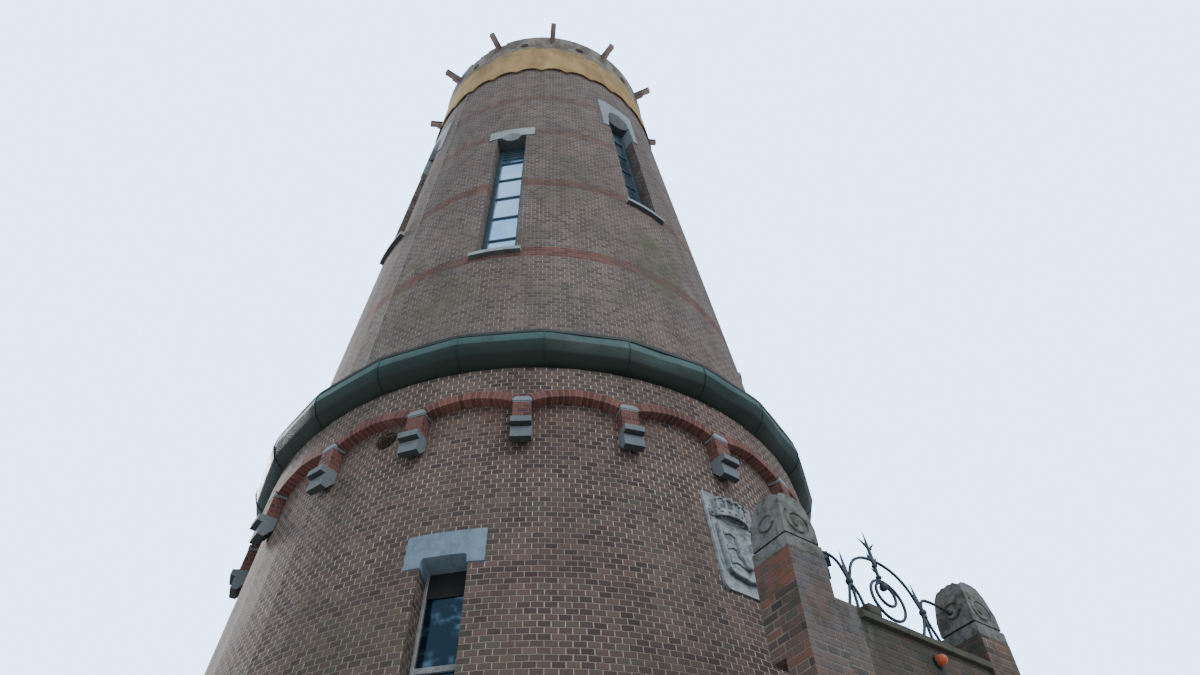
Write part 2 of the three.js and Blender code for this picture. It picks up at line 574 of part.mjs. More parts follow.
// Wrought-iron cresting: flat bars bent to curves, in x and z from its own middle on the coping
const BAR = 22;
const CREST_SHIFT = -38;
const CREST_LEAN = 3.2;
const archHalf = [[393, 262], [363, 325], [320, 420], [265, 492], [190, 545], [115, 574], [0, 586]];
const mirrored = archHalf.map(([x, z]) => [-x, z]);
const SCROLLS = [
  [...archHalf, ...mirrored.reverse().slice(1)],
  [[393, 262], [412, 340], [455, 388], [510, 400], [600, 402], [690, 396], [770, 390]],
  [[-393, 262], [-410, 310], [-432, 362], [-465, 412], [-525, 442], [-600, 440], [-695, 425]],
  [[-393, 262], [-451, 98], [-492, -12]], [[-393, 262], [-381, 173], [-392, -12]],
  [[-393, 262], [-337, 179], [-314, 87], [-288, -12]],
  [[393, 262], [351, 141], [295, 31], [282, -12]], [[393, 262], [385, 110], [388, -12]],
  [[393, 262], [427, 149], [473, 45], [494, -12]],
  [[-14, 385], [-13, 560], [-13, 880]],
  [[-15, 700], [-60, 742], [-115, 773]], [[2, 694], [40, 744], [85, 785]], [[-15, 472], [-70, 498]],
];
const HOOPS = [[2, 232, 169], [0, 284, 98]];
const LEAVES = [[-393, 262, -398, 545], [388, 262, 366, 525], [-13, 560, -13, 660]];
const BALLS = [[770, 390, 28], [-695, 425, 26], [-17, 400, 26], [3, 350, 34], [-393, 258, 34], [393, 258, 34]];
const crestAt = turned(DOOR_AXIS)
  .multiply(new THREE.Matrix4().makeTranslation(CREST_SHIFT, wallFront + 95, COPING_TOP + GAP))
  .multiply(new THREE.Matrix4().makeRotationX(rad(-CREST_LEAN)));
function bentBar(points) {
  const curve = new THREE.CatmullRomCurve3(points.map(([x, z]) => new THREE.Vector3(x, z, 0)));
  const line = curve.getPoints(Math.round((points.length - 1) * 1.2));
  const left = [];
  const right = [];
  line.forEach((p, i) => {
    const before = line[Math.max(0, i - 1)];
    const after = line[Math.min(line.length - 1, i + 1)];
    const across = new THREE.Vector3(before.y - after.y, after.x - before.x, 0).setLength(BAR / 2);
    left.push([p.x + across.x, p.y + across.y]);
    right.unshift([p.x - across.x, p.y - across.y]);
  });
  return outline([...left, ...right]);
}
// Flat pointed leaf from one point to another, widest a third of the way along
function leafShape([x0, z0, x1, z1]) {
  const middle = [x0 + (x1 - x0) / 3, z0 + (z1 - z0) / 3];
  return outline([[x0 - 8, z0], [middle[0] - 18, middle[1]], [x1 - 2, z1], [x1 + 2, z1],
    [middle[0] + 18, middle[1]], [x0 + 8, z0]]);
}
const shapes = [...SCROLLS.map(bentBar), ...LEAVES.map(leafShape)];
const hoops = HOOPS.map(([x, z, radius]) => ring([[radius - BAR / 2, -BAR / 2], [radius + BAR / 2, -BAR / 2],
  [radius + BAR / 2, BAR / 2], [radius - BAR / 2, BAR / 2]], 18).transform(
  crestAt.clone().multiply(new THREE.Matrix4().makeTranslation(x, 0, z))
    .multiply(new THREE.Matrix4().makeRotationX(Math.PI / 2)).elements));
const balls = BALLS.map(([x, z, radius]) => solid(
  new THREE.SphereGeometry(radius, 6, 4).translate(x, 0, z).applyMatrix4(crestAt)));
let crest = hoops[0];
shapes.forEach((shape, i) => {
  crest = crest.add(prism(shape, -BAR / 2 + (i % 3), BAR / 2 + (i % 3), crestAt));
});
for (const part of [...hoops.slice(1), ...balls]) crest = crest.add(part);
add('cresting', crest.subtract(box(-900, 900, front, wallBack, 4900, COPING_TOP + GAP, porch)), 'iron');

// Round lamp on the front wall
const LAMP = { x: 165, z: 4830 };
const lampAt = turned(DOOR_AXIS).multiply(
  new THREE.Matrix4().makeTranslation(LAMP.x, wallFront - GAP, LAMP.z));
const lampOutline = [[0, 0], [58, 0], [58, 22], [48, 25], [46, 50], [38, 70], [22, 82], [0, 86]];
const lampTurn = new THREE.LatheGeometry(lampOutline.map(([r, h]) => new THREE.Vector2(r, h)), 16)
  .rotateX(Math.PI);
add('wall_lamp', solid(lampTurn.applyMatrix4(lampAt)), 'lamp');

export default group;
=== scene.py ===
# Brick water tower without its tank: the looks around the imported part. Metres, +Z up.
import math
import random
from functools import partial
from types import SimpleNamespace

import bmesh
import bpy
from mathutils import Matrix, Vector


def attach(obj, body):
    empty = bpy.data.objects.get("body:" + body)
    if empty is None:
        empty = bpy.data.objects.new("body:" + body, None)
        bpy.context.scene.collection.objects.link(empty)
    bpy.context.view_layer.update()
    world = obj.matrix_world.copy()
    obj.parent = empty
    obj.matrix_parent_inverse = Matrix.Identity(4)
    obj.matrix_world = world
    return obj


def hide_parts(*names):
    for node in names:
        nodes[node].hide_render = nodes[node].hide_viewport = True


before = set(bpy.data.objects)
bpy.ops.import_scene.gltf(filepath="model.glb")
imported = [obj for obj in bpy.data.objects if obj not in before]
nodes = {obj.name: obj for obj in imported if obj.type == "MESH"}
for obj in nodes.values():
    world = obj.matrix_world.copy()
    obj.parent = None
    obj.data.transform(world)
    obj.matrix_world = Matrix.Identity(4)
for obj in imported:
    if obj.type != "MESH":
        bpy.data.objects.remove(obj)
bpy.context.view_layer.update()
random.seed(7)

tower = {
    "baseRadius": 4.22,
    "batter": 0.113,   # the wall comes in this much for each metre up
    "course": 0.0605,
    "header": 0.11,
    "doorAxis": 32.2,
}
lean = -math.atan(tower["batter"])


def wallRadius(z):
    return tower["baseRadius"] - tower["batter"] * z


# Frame of a thing on the wall's face: x sideways, y into the wall, z up the wall
def onWall(angle, z):
    turn = Matrix.Rotation(math.radians(angle), 4, "Z")
    return turn @ Matrix.Translation((0, -wallRadius(z), z)) @ Matrix.Rotation(lean, 4, "X")


porchFrame = Matrix.Rotation(math.radians(tower["doorAxis"]), 4, "Z")


# A colour picked on screen, 0 to 255, as Blender's linear colour
def tint(red, green, blue):
    def linear(v):
        v = v / 255
        return v / 12.92 if v <= 0.04045 else ((v + 0.055) / 1.055) ** 2.4
    return (linear(red), linear(green), linear(blue), 1)


# Small tools for building node trees
mathWords = {
    "minus": "SUBTRACT", "over": "DIVIDE", "power": "POWER", "timesPlus": "MULTIPLY_ADD", "least": "MINIMUM",
    "size": "ABSOLUTE", "floor": "FLOOR", "whole": "ROUND", "root": "SQRT",
    "remainder": "FLOORED_MODULO", "isOver": "GREATER_THAN", "turnOf": "ARCTAN2",
}


def nodeTools(tree):
    def feed(socket, value):
        if isinstance(value, bpy.types.NodeSocket):
            tree.links.new(value, socket)
        elif value is not None:
            socket.default_value = value

    def calc(operation, a, b=None, c=None):
        node = tree.nodes.new("ShaderNodeMath")
        node.operation = operation
        for socket, value in zip(node.inputs, (a, b, c)):
            feed(socket, value)
        return node.outputs[0]

    def chain(operation, first, *others):
        for value in others:
            first = calc(operation, first, value)
        return first

    def mix(factor, a, b, blend="MIX"):
        node = tree.nodes.new("ShaderNodeMix")
        node.data_type = "RGBA"
        node.blend_type = blend
        feed(node.inputs[0], factor)
        feed(node.inputs[6], a)
        feed(node.inputs[7], b)
        return node.outputs[2]

    def blend(factor, a, b):
        node = tree.nodes.new("ShaderNodeMix")
        feed(node.inputs[0], factor)
        feed(node.inputs[2], a)
        feed(node.inputs[3], b)
        return node.outputs[0]

    # Smooth step from one value to the other
    def step(value, low, high, start=0.0, end=1.0):
        node = tree.nodes.new("ShaderNodeMapRange")
        node.interpolation_type = "SMOOTHSTEP"
        for socket, number in zip(node.inputs, (value, low, high, start, end)):
            feed(socket, number)
        return node.outputs[0]

    # 1 between low and high, with soft edges
    def within(value, low, high, soft):
        above = step(value, low - soft, low + soft)
        return calc("MULTIPLY", above, step(value, high - soft, high + soft, 1.0, 0.0))

    # How far a value is from the nearest whole number
    def fromWhole(value):
        return calc("SUBTRACT", 0.5, calc("ABSOLUTE", calc("SUBTRACT", calc("FRACT", value), 0.5)))

    def ramp(value, stops):
        node = tree.nodes.new("ShaderNodeValToRGB")
        points = node.color_ramp.elements
        while len(points) < len(stops):
            points.new(0.5)
        for point, (place, colour) in zip(points, stops):
            point.position = place
        for point, (place, colour) in zip(points, stops):
            point.color = colour
        feed(node.inputs[0], value)
        return node.outputs[0]

    def mapped(vector, setting, value, kind="POINT"):
        node = tree.nodes.new("ShaderNodeMapping")
        node.vector_type = kind
        feed(node.inputs["Vector"], vector)
        node.inputs[setting].default_value = value
        return node.outputs[0]

    def noise(vector, scale, detail=4.0, rough=0.55, stretch=None):
        if stretch:
            vector = mapped(vector, "Scale", stretch)
        node = tree.nodes.new("ShaderNodeTexNoise")
        feed(node.inputs["Vector"], vector)
        node.inputs["Scale"].default_value = scale
        node.inputs["Detail"].default_value = detail
        node.inputs["Roughness"].default_value = rough
        return node.outputs["Fac"]

    # Noise turned into patches with soft edges
    def patches(vector, spec, edges):
        return step(noise(vector, *spec), *edges)

    def parts(vector):
        node = tree.nodes.new("ShaderNodeSeparateXYZ")
        feed(node.inputs[0], vector)
        return node.outputs[0], node.outputs[1], node.outputs[2]

    def vector(x, y, z=0.0):
        node = tree.nodes.new("ShaderNodeCombineXYZ")
        for socket, value in zip(node.inputs, (x, y, z)):
            feed(socket, value)
        return node.outputs[0]

    # A different value from 0 to 1 for each pair of whole numbers
    def scatter(x, y):
        node = tree.nodes.new("ShaderNodeTexWhiteNoise")
        node.noise_dimensions = "2D"
        feed(node.inputs["Vector"], vector(x, y))
        return node.outputs["Value"]

    # A colour made darker or lighter by a value
    def shade(colour, value):
        return mix(1.0, colour, vector(value, value, value), "MULTIPLY")

    def position():
        return tree.nodes.new("ShaderNodeTexCoord").outputs["Object"]

    def facing():
        return tree.nodes.new("ShaderNodeNewGeometry").outputs["True Normal"]

    def bump(height, distance):
        node = tree.nodes.new("ShaderNodeBump")
        feed(node.inputs["Height"], height)
        node.inputs["Distance"].default_value = distance
        node.inputs["Strength"].default_value = 1.0
        return node.outputs["Normal"]

    def group(made, **values):
        node = tree.nodes.new("ShaderNodeGroup")
        node.node_tree = made
        for name, value in values.items():
            feed(node.inputs[name], value)
        return node.outputs

    words = {word: partial(calc, operation) for word, operation in mathWords.items()}
    chains = {"times": "MULTIPLY", "plus": "ADD", "most": "MAXIMUM"}
    words.update({word: partial(chain, operation) for word, operation in chains.items()})
    return SimpleNamespace(feed=feed, mix=mix, blend=blend, step=step, within=within, fromWhole=fromWhole,
                           ramp=ramp, mapped=mapped, noise=noise, patches=patches, parts=parts,
                           scatter=scatter, shade=shade, position=position, facing=facing, bump=bump,
                           group=group, **words)


def newMaterial(name, roughness=0.85, metallic=0.0):
    material = bpy.data.materials.new(name)
    material.use_nodes = True
    tree = material.node_tree
    shader = tree.nodes["Principled BSDF"]
    shader.inputs["Roughness"].default_value = roughness
    shader.inputs["Metallic"].default_value = metallic
    return material, shader, nodeTools(tree)


# Colour, bump and, where it varies, roughness of a surface
def paint(t, shader, colour, height, deep, gloss=None):
    t.feed(shader.inputs["Base Color"], colour)
    t.feed(shader.inputs["Roughness"], gloss)
    t.feed(shader.inputs["Normal"], t.bump(height, deep))


def newGroup(name, inputs, outputs):
    made = bpy.data.node_groups.new(name, "ShaderNodeTree")
    kinds = {"value": "NodeSocketFloat", "vector": "NodeSocketVector"}
    for word, kind in inputs.items():
        made.interface.new_socket(word, in_out="INPUT", socket_type=kinds[kind])
    for word in outputs:
        made.interface.new_socket(word, in_out="OUTPUT", socket_type=kinds["value"])
    given = made.nodes.new("NodeGroupInput").outputs
    taken = made.nodes.new("NodeGroupOutput").inputs
    return made, given, taken, nodeTools(made)


# One brick cell: where the joints are and how each brick differs
brickCell = {
    "wobble": 0.006,           # how uneven a brick's edges are, in metres
    "wobbleNoise": (38.0, 2.0),
    "jointSoft": 0.0012,
    "hollow": 0.002,           # the face rises from this far inside the joint
    "shoulder": 0.004,         # to this far past its edge
}


def makeBrickCells():
    look = brickCell
    numbers = {word: "value" for word in ("Along", "Up", "Shift", "Count", "Length", "Joint")}
    made, given, taken, t = newGroup(
        "Brick cells", {**numbers, "Position": "vector"}, ("Bed", "Upright", "Tone", "Height"))
    course = t.floor(given["Up"])
    along = t.timesPlus(t.remainder(course, 2.0), given["Shift"], given["Along"])
    wobble = t.times(t.minus(t.noise(given["Position"], *look["wobbleNoise"]), 0.5), look["wobble"])
    fromSide = t.plus(t.times(t.fromWhole(along), given["Length"]), wobble)
    fromBed = t.plus(t.times(t.fromWhole(given["Up"]), tower["course"]), wobble)
    low = t.minus(given["Joint"], look["jointSoft"])
    high = t.plus(given["Joint"], look["jointSoft"])
    t.feed(taken["Bed"], t.step(fromBed, low, high, 1.0, 0.0))
    t.feed(taken["Upright"], t.step(fromSide, low, high, 1.0, 0.0))
    t.feed(taken["Tone"], t.scatter(t.remainder(t.floor(along), given["Count"]), course))
    low = t.minus(given["Joint"], look["hollow"])
    high = t.plus(given["Joint"], look["shoulder"])
    t.feed(taken["Height"], t.step(t.least(fromSide, fromBed), low, high))
    return made


halfBrick = 0.5   # every other course is shifted by this much of a brick
facesIt = 0.6     # a face whose normal has more than this along an axis counts as facing that way


# Where a point is on the round tower, and which way its face looks
def makeRoundPlace():
    outputs = ("Angle", "Radius", "Height", "Side", "Flat")
    made, given, taken, t = newGroup("Round place", {"Position": "vector", "Facing": "vector"}, outputs)
    x, y, z = t.parts(given["Position"])
    nx, ny, nz = t.parts(given["Facing"])
    radius = t.root(t.timesPlus(x, x, t.times(y, y)))
    t.feed(taken["Angle"], t.turnOf(x, t.times(y, -1.0)))
    t.feed(taken["Radius"], radius)
    t.feed(taken["Height"], z)
    across = t.minus(t.times(ny, x), t.times(nx, y))
    across = t.over(t.size(across), t.most(radius, 0.001))
    t.feed(taken["Side"], t.isOver(across, facesIt))
    t.feed(taken["Flat"], t.isOver(t.size(nz), facesIt))
    return made


# Clouds, streaks and grain that age every surface: scale, detail, roughness and stretch of each noise
weatherNoise = {
    "Cloud": (0.9, 5.0, 0.6),
    "Streak": (3.2, 4.0, 0.55, (1.0, 1.0, 0.12)),
    "Grain": (90.0, 3.0, 0.6),
    "Patch": (2.3, 5.0, 0.65),
}
patchEdge = (0.52, 0.68)


def makeWeather():
    made, given, taken, t = newGroup("Weather", {"Position": "vector"}, weatherNoise)
    for word, spec in weatherNoise.items():
        value = t.noise(given["Position"], *spec)
        t.feed(taken[word], t.step(value, *patchEdge) if word == "Patch" else value)
    return made


brickCells = makeBrickCells()
roundPlace = makeRoundPlace()
weather = makeWeather()
print("node groups ready")

# Brick of the drum, the shaft and the arcade: header bond, each course with a whole number of bricks
roundBrick = {
    "drumTones": [(0.0, tint(64, 52, 50)), (0.3, tint(82, 66, 62)), (0.65, tint(95, 76, 70)),
                  (0.88, tint(106, 86, 76)), (1.0, tint(80, 77, 68))],
    "shaftTones": [(0.0, tint(86, 75, 73)), (0.35, tint(98, 88, 84)), (0.7, tint(110, 98, 92)),
                   (0.9, tint(120, 107, 97)), (1.0, tint(98, 93, 83))],
    "redTones": [(0.0, tint(84, 52, 46)), (0.5, tint(104, 62, 54)), (1.0, tint(120, 78, 68))],
    "uprightJoint": tint(196, 184, 170),
    # Bed joints darker than upright ones: painted shade inside the recessed bed joints
    "shadedBedJoint": tint(130, 118, 108),
    "shaftJoint": tint(184, 176, 164),
    "redJoint": tint(122, 98, 88),
    "joint": 0.0048,
    "shaftFoot": (8.3, 9.1),
    "bands": (11.19, 13.2, 15.05, 16.52),
    "bandHalf": 0.115,
    "bandSoft": 0.012,
    "bandDirt": (0.25, 0.5, 0.4, 0.75),
    "bandFade": (12.0, 16.6, 1.15, 0.6),
    "cleanNoise": (2.1, 5.0, 0.65),
    "cleanPatches": (0.36, 0.62, 0.4, 0.95),
    "cleanUp": (4.5, 7.6, 0.72, 1.05),
    "cleanShaft": 0.72,
    "broadNoise": (0.55, 3.0, 0.55),
    "warm": {"where": (0.45, 0.66), "amount": 0.3, "tone": tint(236, 214, 204)},
    "olive": {"where": (0.5, 0.34), "amount": 0.2, "tone": tint(96, 94, 76)},
    "clouds": (0.25, 0.75, 0.78, 1.12),
    "streaks": (0.3, 0.7, 0.86, 1.06),
    "grain": (0.3, 0.7, 0.9, 1.1),
    "grainShare": 0.6,
    "gloss": (0.3, 0.7, 0.86, 0.96),
    "green": tint(78, 84, 52),
    "algae": (9.2, 13.5, 1.2),
    "algaeAmount": 0.4,
    # Mossy places: angle, height, reach sideways and up in metres, strength
    "mossSpots": [(33.0, 11.7, 0.55, 1.0, 0.75), (-24.0, 10.3, 0.8, 0.6, 0.35), (8.0, 13.4, 0.7, 1.4, 0.3),
                  (150.0, 12.2, 0.9, 1.6, 0.5), (-120.0, 11.0, 0.8, 1.3, 0.5), (-20.0, 5.3, 1.3, 0.5, 0.3)],
    "mossNoise": (2.6, 6.0, 0.7),
    "mossRagged": (0.4, 0.62, 0.25, 1.0),
    "mossEdge": (0.1, 1.2),
    "grainBump": 0.25,
    "deep": 0.006,
    "stain": {"where": (7.75, 8.2, 0.22), "streaks": (0.4, 0.65), "amount": 0.45, "tone": tint(104, 78, 58)},
}
arcade = {
    "bay": 18.0,
    "start": -66.0,       # axis of the first bay's left end
    "foot": 8.02,
    "archCentre": 7.0617,
    "archRadius": 1.0803,
    "ringIn": 0.2,
    "ringDeep": 0.112,
    "soft": 0.004,
    "fanJoint": (0.004, 0.0065),
    "edge": 0.008,        # joint along the ring's outer edge
    "edgeSoft": 0.002,
    "stone": tint(138, 148, 152),
    "stoneGrain": (0.3, 0.7, 0.86, 1.08),
    "springerHalf": (0.099, 0.102),
    "springerSlope": (0.067, 1.1),   # past the first distance the stone's top falls this steeply
    "springerTop": (8.094, 8.1),
    "bracketTop": (7.738, 7.744),
    "bracketShade": 0.62,
    # painted shade on the stones' faces that look down
    "under": (-0.8, -0.1, 0.85, 0.0),
    "underShadeTone": tint(26, 29, 27),
}


def agedShade(t, aged, look):
    return t.times(t.step(aged["Cloud"], *look["clouds"]), t.step(aged["Streak"], *look["streaks"]))


def roundBrickLook(t):
    look = roundBrick
    position = t.position()
    place = t.group(roundPlace, Position=position, Facing=t.facing())
    angle, radius, height = place["Angle"], place["Radius"], place["Height"]
    up = t.blend(place["Flat"], t.over(height, tower["course"]), t.over(radius, tower["course"]))
    middle = t.times(t.plus(t.floor(up), 0.5), tower["course"])
    middle = t.blend(place["Flat"], middle, height)
    courseRadius = t.timesPlus(middle, -tower["batter"], tower["baseRadius"])
    count = t.whole(t.times(courseRadius, 2 * math.pi / tower["header"]))
    along = t.times(t.over(angle, 2 * math.pi), count)
    along = t.blend(place["Side"], along, t.over(radius, tower["header"]))
    cells = t.group(brickCells, Along=along, Up=up, Shift=halfBrick, Count=count, Length=tower["header"],
                    Joint=look["joint"], Position=position)
    aged = t.group(weather, Position=position)
    shaft = t.step(height, *look["shaftFoot"])
    bricks = t.mix(shaft, t.ramp(cells["Tone"], look["drumTones"]),
                   t.ramp(cells["Tone"], look["shaftTones"]))
    red = 0.0
    for centre in look["bands"]:
        band = t.within(height, centre - look["bandHalf"], centre + look["bandHalf"], look["bandSoft"])
        red = t.most(band, red)
    # The bands are weaker where the wall is dirty, and towards the top
    red = t.times(red, t.step(aged["Cloud"], *look["bandDirt"]), t.step(height, *look["bandFade"]))
    redBricks = t.ramp(cells["Tone"], look["redTones"])
    bricks = t.mix(red, bricks, redBricks)
    upright = t.mix(red, t.mix(shaft, look["uprightJoint"], look["shaftJoint"]), look["redJoint"])
    bed = t.mix(red, look["shadedBedJoint"], look["redJoint"])
    colour = t.mix(cells["Bed"], bricks, bed)
    onlyUpright = t.times(cells["Upright"], t.minus(1.0, cells["Bed"]))
    clean = t.patches(position, look["cleanNoise"], look["cleanPatches"])
    clean = t.times(clean, t.step(height, *look["cleanUp"]), t.blend(shaft, 1.0, look["cleanShaft"]))
    colour = t.mix(t.times(onlyUpright, clean), colour, upright)
    # Broad changes of tone: warmer in some places, olive in others
    broad = t.noise(position, *look["broadNoise"])
    warm, olive = look["warm"], look["olive"]
    warmer = t.mix(1.0, colour, warm["tone"], "MULTIPLY")
    colour = t.mix(t.times(t.step(broad, *warm["where"]), warm["amount"]), colour, warmer)
    colour = t.mix(t.times(t.step(broad, *olive["where"]), olive["amount"]), colour, olive["tone"])
    return SimpleNamespace(colour=colour, cells=cells, place=place, aged=aged, position=position,
                           at=t.parts(position), redBricks=redBricks)


def finishBrick(t, shader, found, colour, smooth=None):
    look = roundBrick
    aged = found.aged
    x, y, z = found.at
    colour = t.shade(colour, agedShade(t, aged, look))
    # Algae where water runs, most of it low on the shaft
    green = t.times(aged["Patch"], t.within(z, *look["algae"]), look["algaeAmount"])
    ragged = t.patches(found.position, look["mossNoise"], look["mossRagged"])
    for degrees, level, wide, tall, strength in look["mossSpots"]:
        turn = math.radians(degrees)
        aside = t.plus(t.times(x, math.cos(turn)), t.times(y, math.sin(turn)))
        out = t.minus(t.times(x, math.sin(turn)), t.times(y, math.cos(turn)))
        aside = t.power(t.over(aside, wide), 2.0)
        up = t.power(t.over(t.minus(z, level), tall), 2.0)
        spot = t.step(t.plus(aside, up), *look["mossEdge"], strength, 0.0)
        green = t.most(green, t.times(spot, ragged, t.isOver(out, 0.0)))
    colour = t.mix(green, colour, look["green"])
    colour = t.mix(look["grainShare"], colour, t.shade(colour, t.step(aged["Grain"], *look["grain"])))
    height = found.cells["Height"] if smooth is None else t.most(found.cells["Height"], smooth)
    height = t.timesPlus(aged["Grain"], look["grainBump"], height)
    paint(t, shader, colour, height, look["deep"], t.step(aged["Cloud"], *look["gloss"]))


def makeTowerBrick():
    material, shader, t = newMaterial("towerBrick")
    found = roundBrickLook(t)
    # Stained brown just under the arcade's arches
    stain = roundBrick["stain"]
    amount = t.step(found.aged["Streak"], *stain["streaks"])
    amount = t.times(t.within(found.place["Height"], *stain["where"]), amount, stain["amount"])
    colour = t.mix(amount, found.colour, stain["tone"])
    finishBrick(t, shader, found, colour)
    return material


# The arcade's brick, with red arches and corbels and their stones picked out by place
def makeArcadeBrick():
    look = arcade
    material, shader, t = newMaterial("arcadeBrick")
    found = roundBrickLook(t)
    bay = math.radians(look["bay"])
    angle, radius, height = found.place["Angle"], found.place["Radius"], found.place["Height"]
    turn = t.minus(angle, math.radians(look["start"]))
    inBay = t.minus(t.remainder(t.plus(turn, bay / 2), bay), bay / 2)
    fromCorbel = t.minus(t.remainder(turn, bay), bay / 2)
    x = t.times(inBay, radius)
    z = t.minus(height, look["archCentre"])
    reach = t.root(t.timesPlus(x, x, t.times(z, z)))
    side = t.size(t.times(fromCorbel, radius))
    above = t.step(height, look["foot"] - look["soft"], look["foot"] + look["soft"])
    outer = look["archRadius"] + look["ringDeep"]
    ring = t.times(t.within(reach, look["archRadius"] - look["ringIn"], outer, look["soft"]), above)
    # Bricks on end round the arch
    fan = t.over(t.times(t.turnOf(x, z), look["archRadius"]), tower["course"])
    fanJoint = t.step(t.times(t.fromWhole(fan), tower["course"]), *look["fanJoint"], 1.0, 0.0)
    edge = t.within(reach, outer - look["edge"], outer, look["edgeSoft"])
    fanBrick = t.ramp(t.scatter(t.floor(fan), t.floor(t.over(turn, bay))), roundBrick["redTones"])
    fanColour = t.mix(t.most(fanJoint, edge), fanBrick, roundBrick["redJoint"])
    colour = t.mix(ring, found.colour, fanColour)
    # Red brick of the corbel's pier
    joint = t.most(found.cells["Bed"], found.cells["Upright"])
    redPier = t.mix(joint, found.redBricks, roundBrick["redJoint"])
    colour = t.mix(t.minus(1.0, above), colour, redPier)
    # Stones: the springer over the pier and the bracket under it
    past, slope = look["springerSlope"]
    level = t.timesPlus(t.most(t.minus(side, past), 0.0), slope, height)
    springer = t.times(above, t.step(side, *look["springerHalf"], 1.0, 0.0))
    springer = t.times(springer, t.step(level, *look["springerTop"], 1.0, 0.0))
    bracket = t.step(height, *look["bracketTop"], 1.0, 0.0)
    stone = t.most(springer, bracket)
    grain = t.step(found.aged["Grain"], *look["stoneGrain"])
    tone = t.times(grain, t.blend(bracket, 1.0, look["bracketShade"]))
    # Painted shade on the stones' faces that look down
    under = t.step(t.parts(t.facing())[2], *look["under"])
    stoneColour = t.mix(under, t.shade(look["stone"], tone), look["underShadeTone"])
    colour = t.mix(stone, colour, stoneColour)
    finishBrick(t, shader, found, colour, t.most(stone, ring))
    return material


# Brick of the porch: courses of stretchers and headers in turn
porchBrick = {
    "tones": [(0.0, tint(58, 52, 50)), (0.22, tint(86, 72, 66)), (0.45, tint(104, 80, 70)),
              (0.62, tint(94, 88, 78)), (0.82, tint(116, 80, 68)), (1.0, tint(80, 79, 73))],
    "jointColour": tint(136, 131, 120),
    "joint": 0.0065,
    "away": 20.0,         # keeps every place on the brick pattern above zero
    "count": 4000.0,
    "cleanNoise": (1.9, 4.0, 0.6),
    "clean": (0.4, 0.6, 0.25, 0.75),
    "wall": (-0.575, 0.8, 0.01),   # the front wall between the piers
    "wallClean": 0.6,
    "wallDark": 0.42,
    "wallTone": tint(54, 53, 53),
    "clouds": (0.25, 0.75, 0.75, 1.15),
    "streaks": (0.3, 0.7, 0.82, 1.08),
    "moss": tint(60, 64, 46),
    "mossAmount": 0.6,
    "mossUp": (4.3, 5.0),
    "mossNoise": (6.0, 5.0, 0.7),
    "mossPatches": (0.42, 0.62),
    "cornerUp": (4.45, 4.75),
    "cornerAcross": (-0.1, -0.5),
    "cornerGrain": (0.3, 0.6, 0.6, 1.2),
    "lime": {"across": (-0.68, -0.5, 0.05), "up": (4.35, 4.9), "noise": (14.0, 6.0, 0.7, (1.0, 1.0, 0.4)),
             "patches": (0.45, 0.6), "amount": 0.45, "tone": tint(122, 124, 118)},
    "bloom": {"across": (-1.3, -0.6, 0.06), "up": (4.1, 4.75), "front": (-0.4, -0.7),
              "noise": (5.2, 6.0, 0.75), "patches": (0.38, 0.6, 0.05, 0.72), "tone": tint(102, 101, 102)},
    "orange": {"side": (-0.4, -0.7), "up": (4.95, 5.15), "across": (-1.0, -1.12), "noise": (7.0, 5.0, 0.7),
               "patches": (0.38, 0.56, 0.0, 0.65), "tone": tint(128, 76, 60)},
    "gloss": (0.3, 0.7, 0.85, 0.95),
    "grainBump": 0.35,
    "deep": 0.007,
}


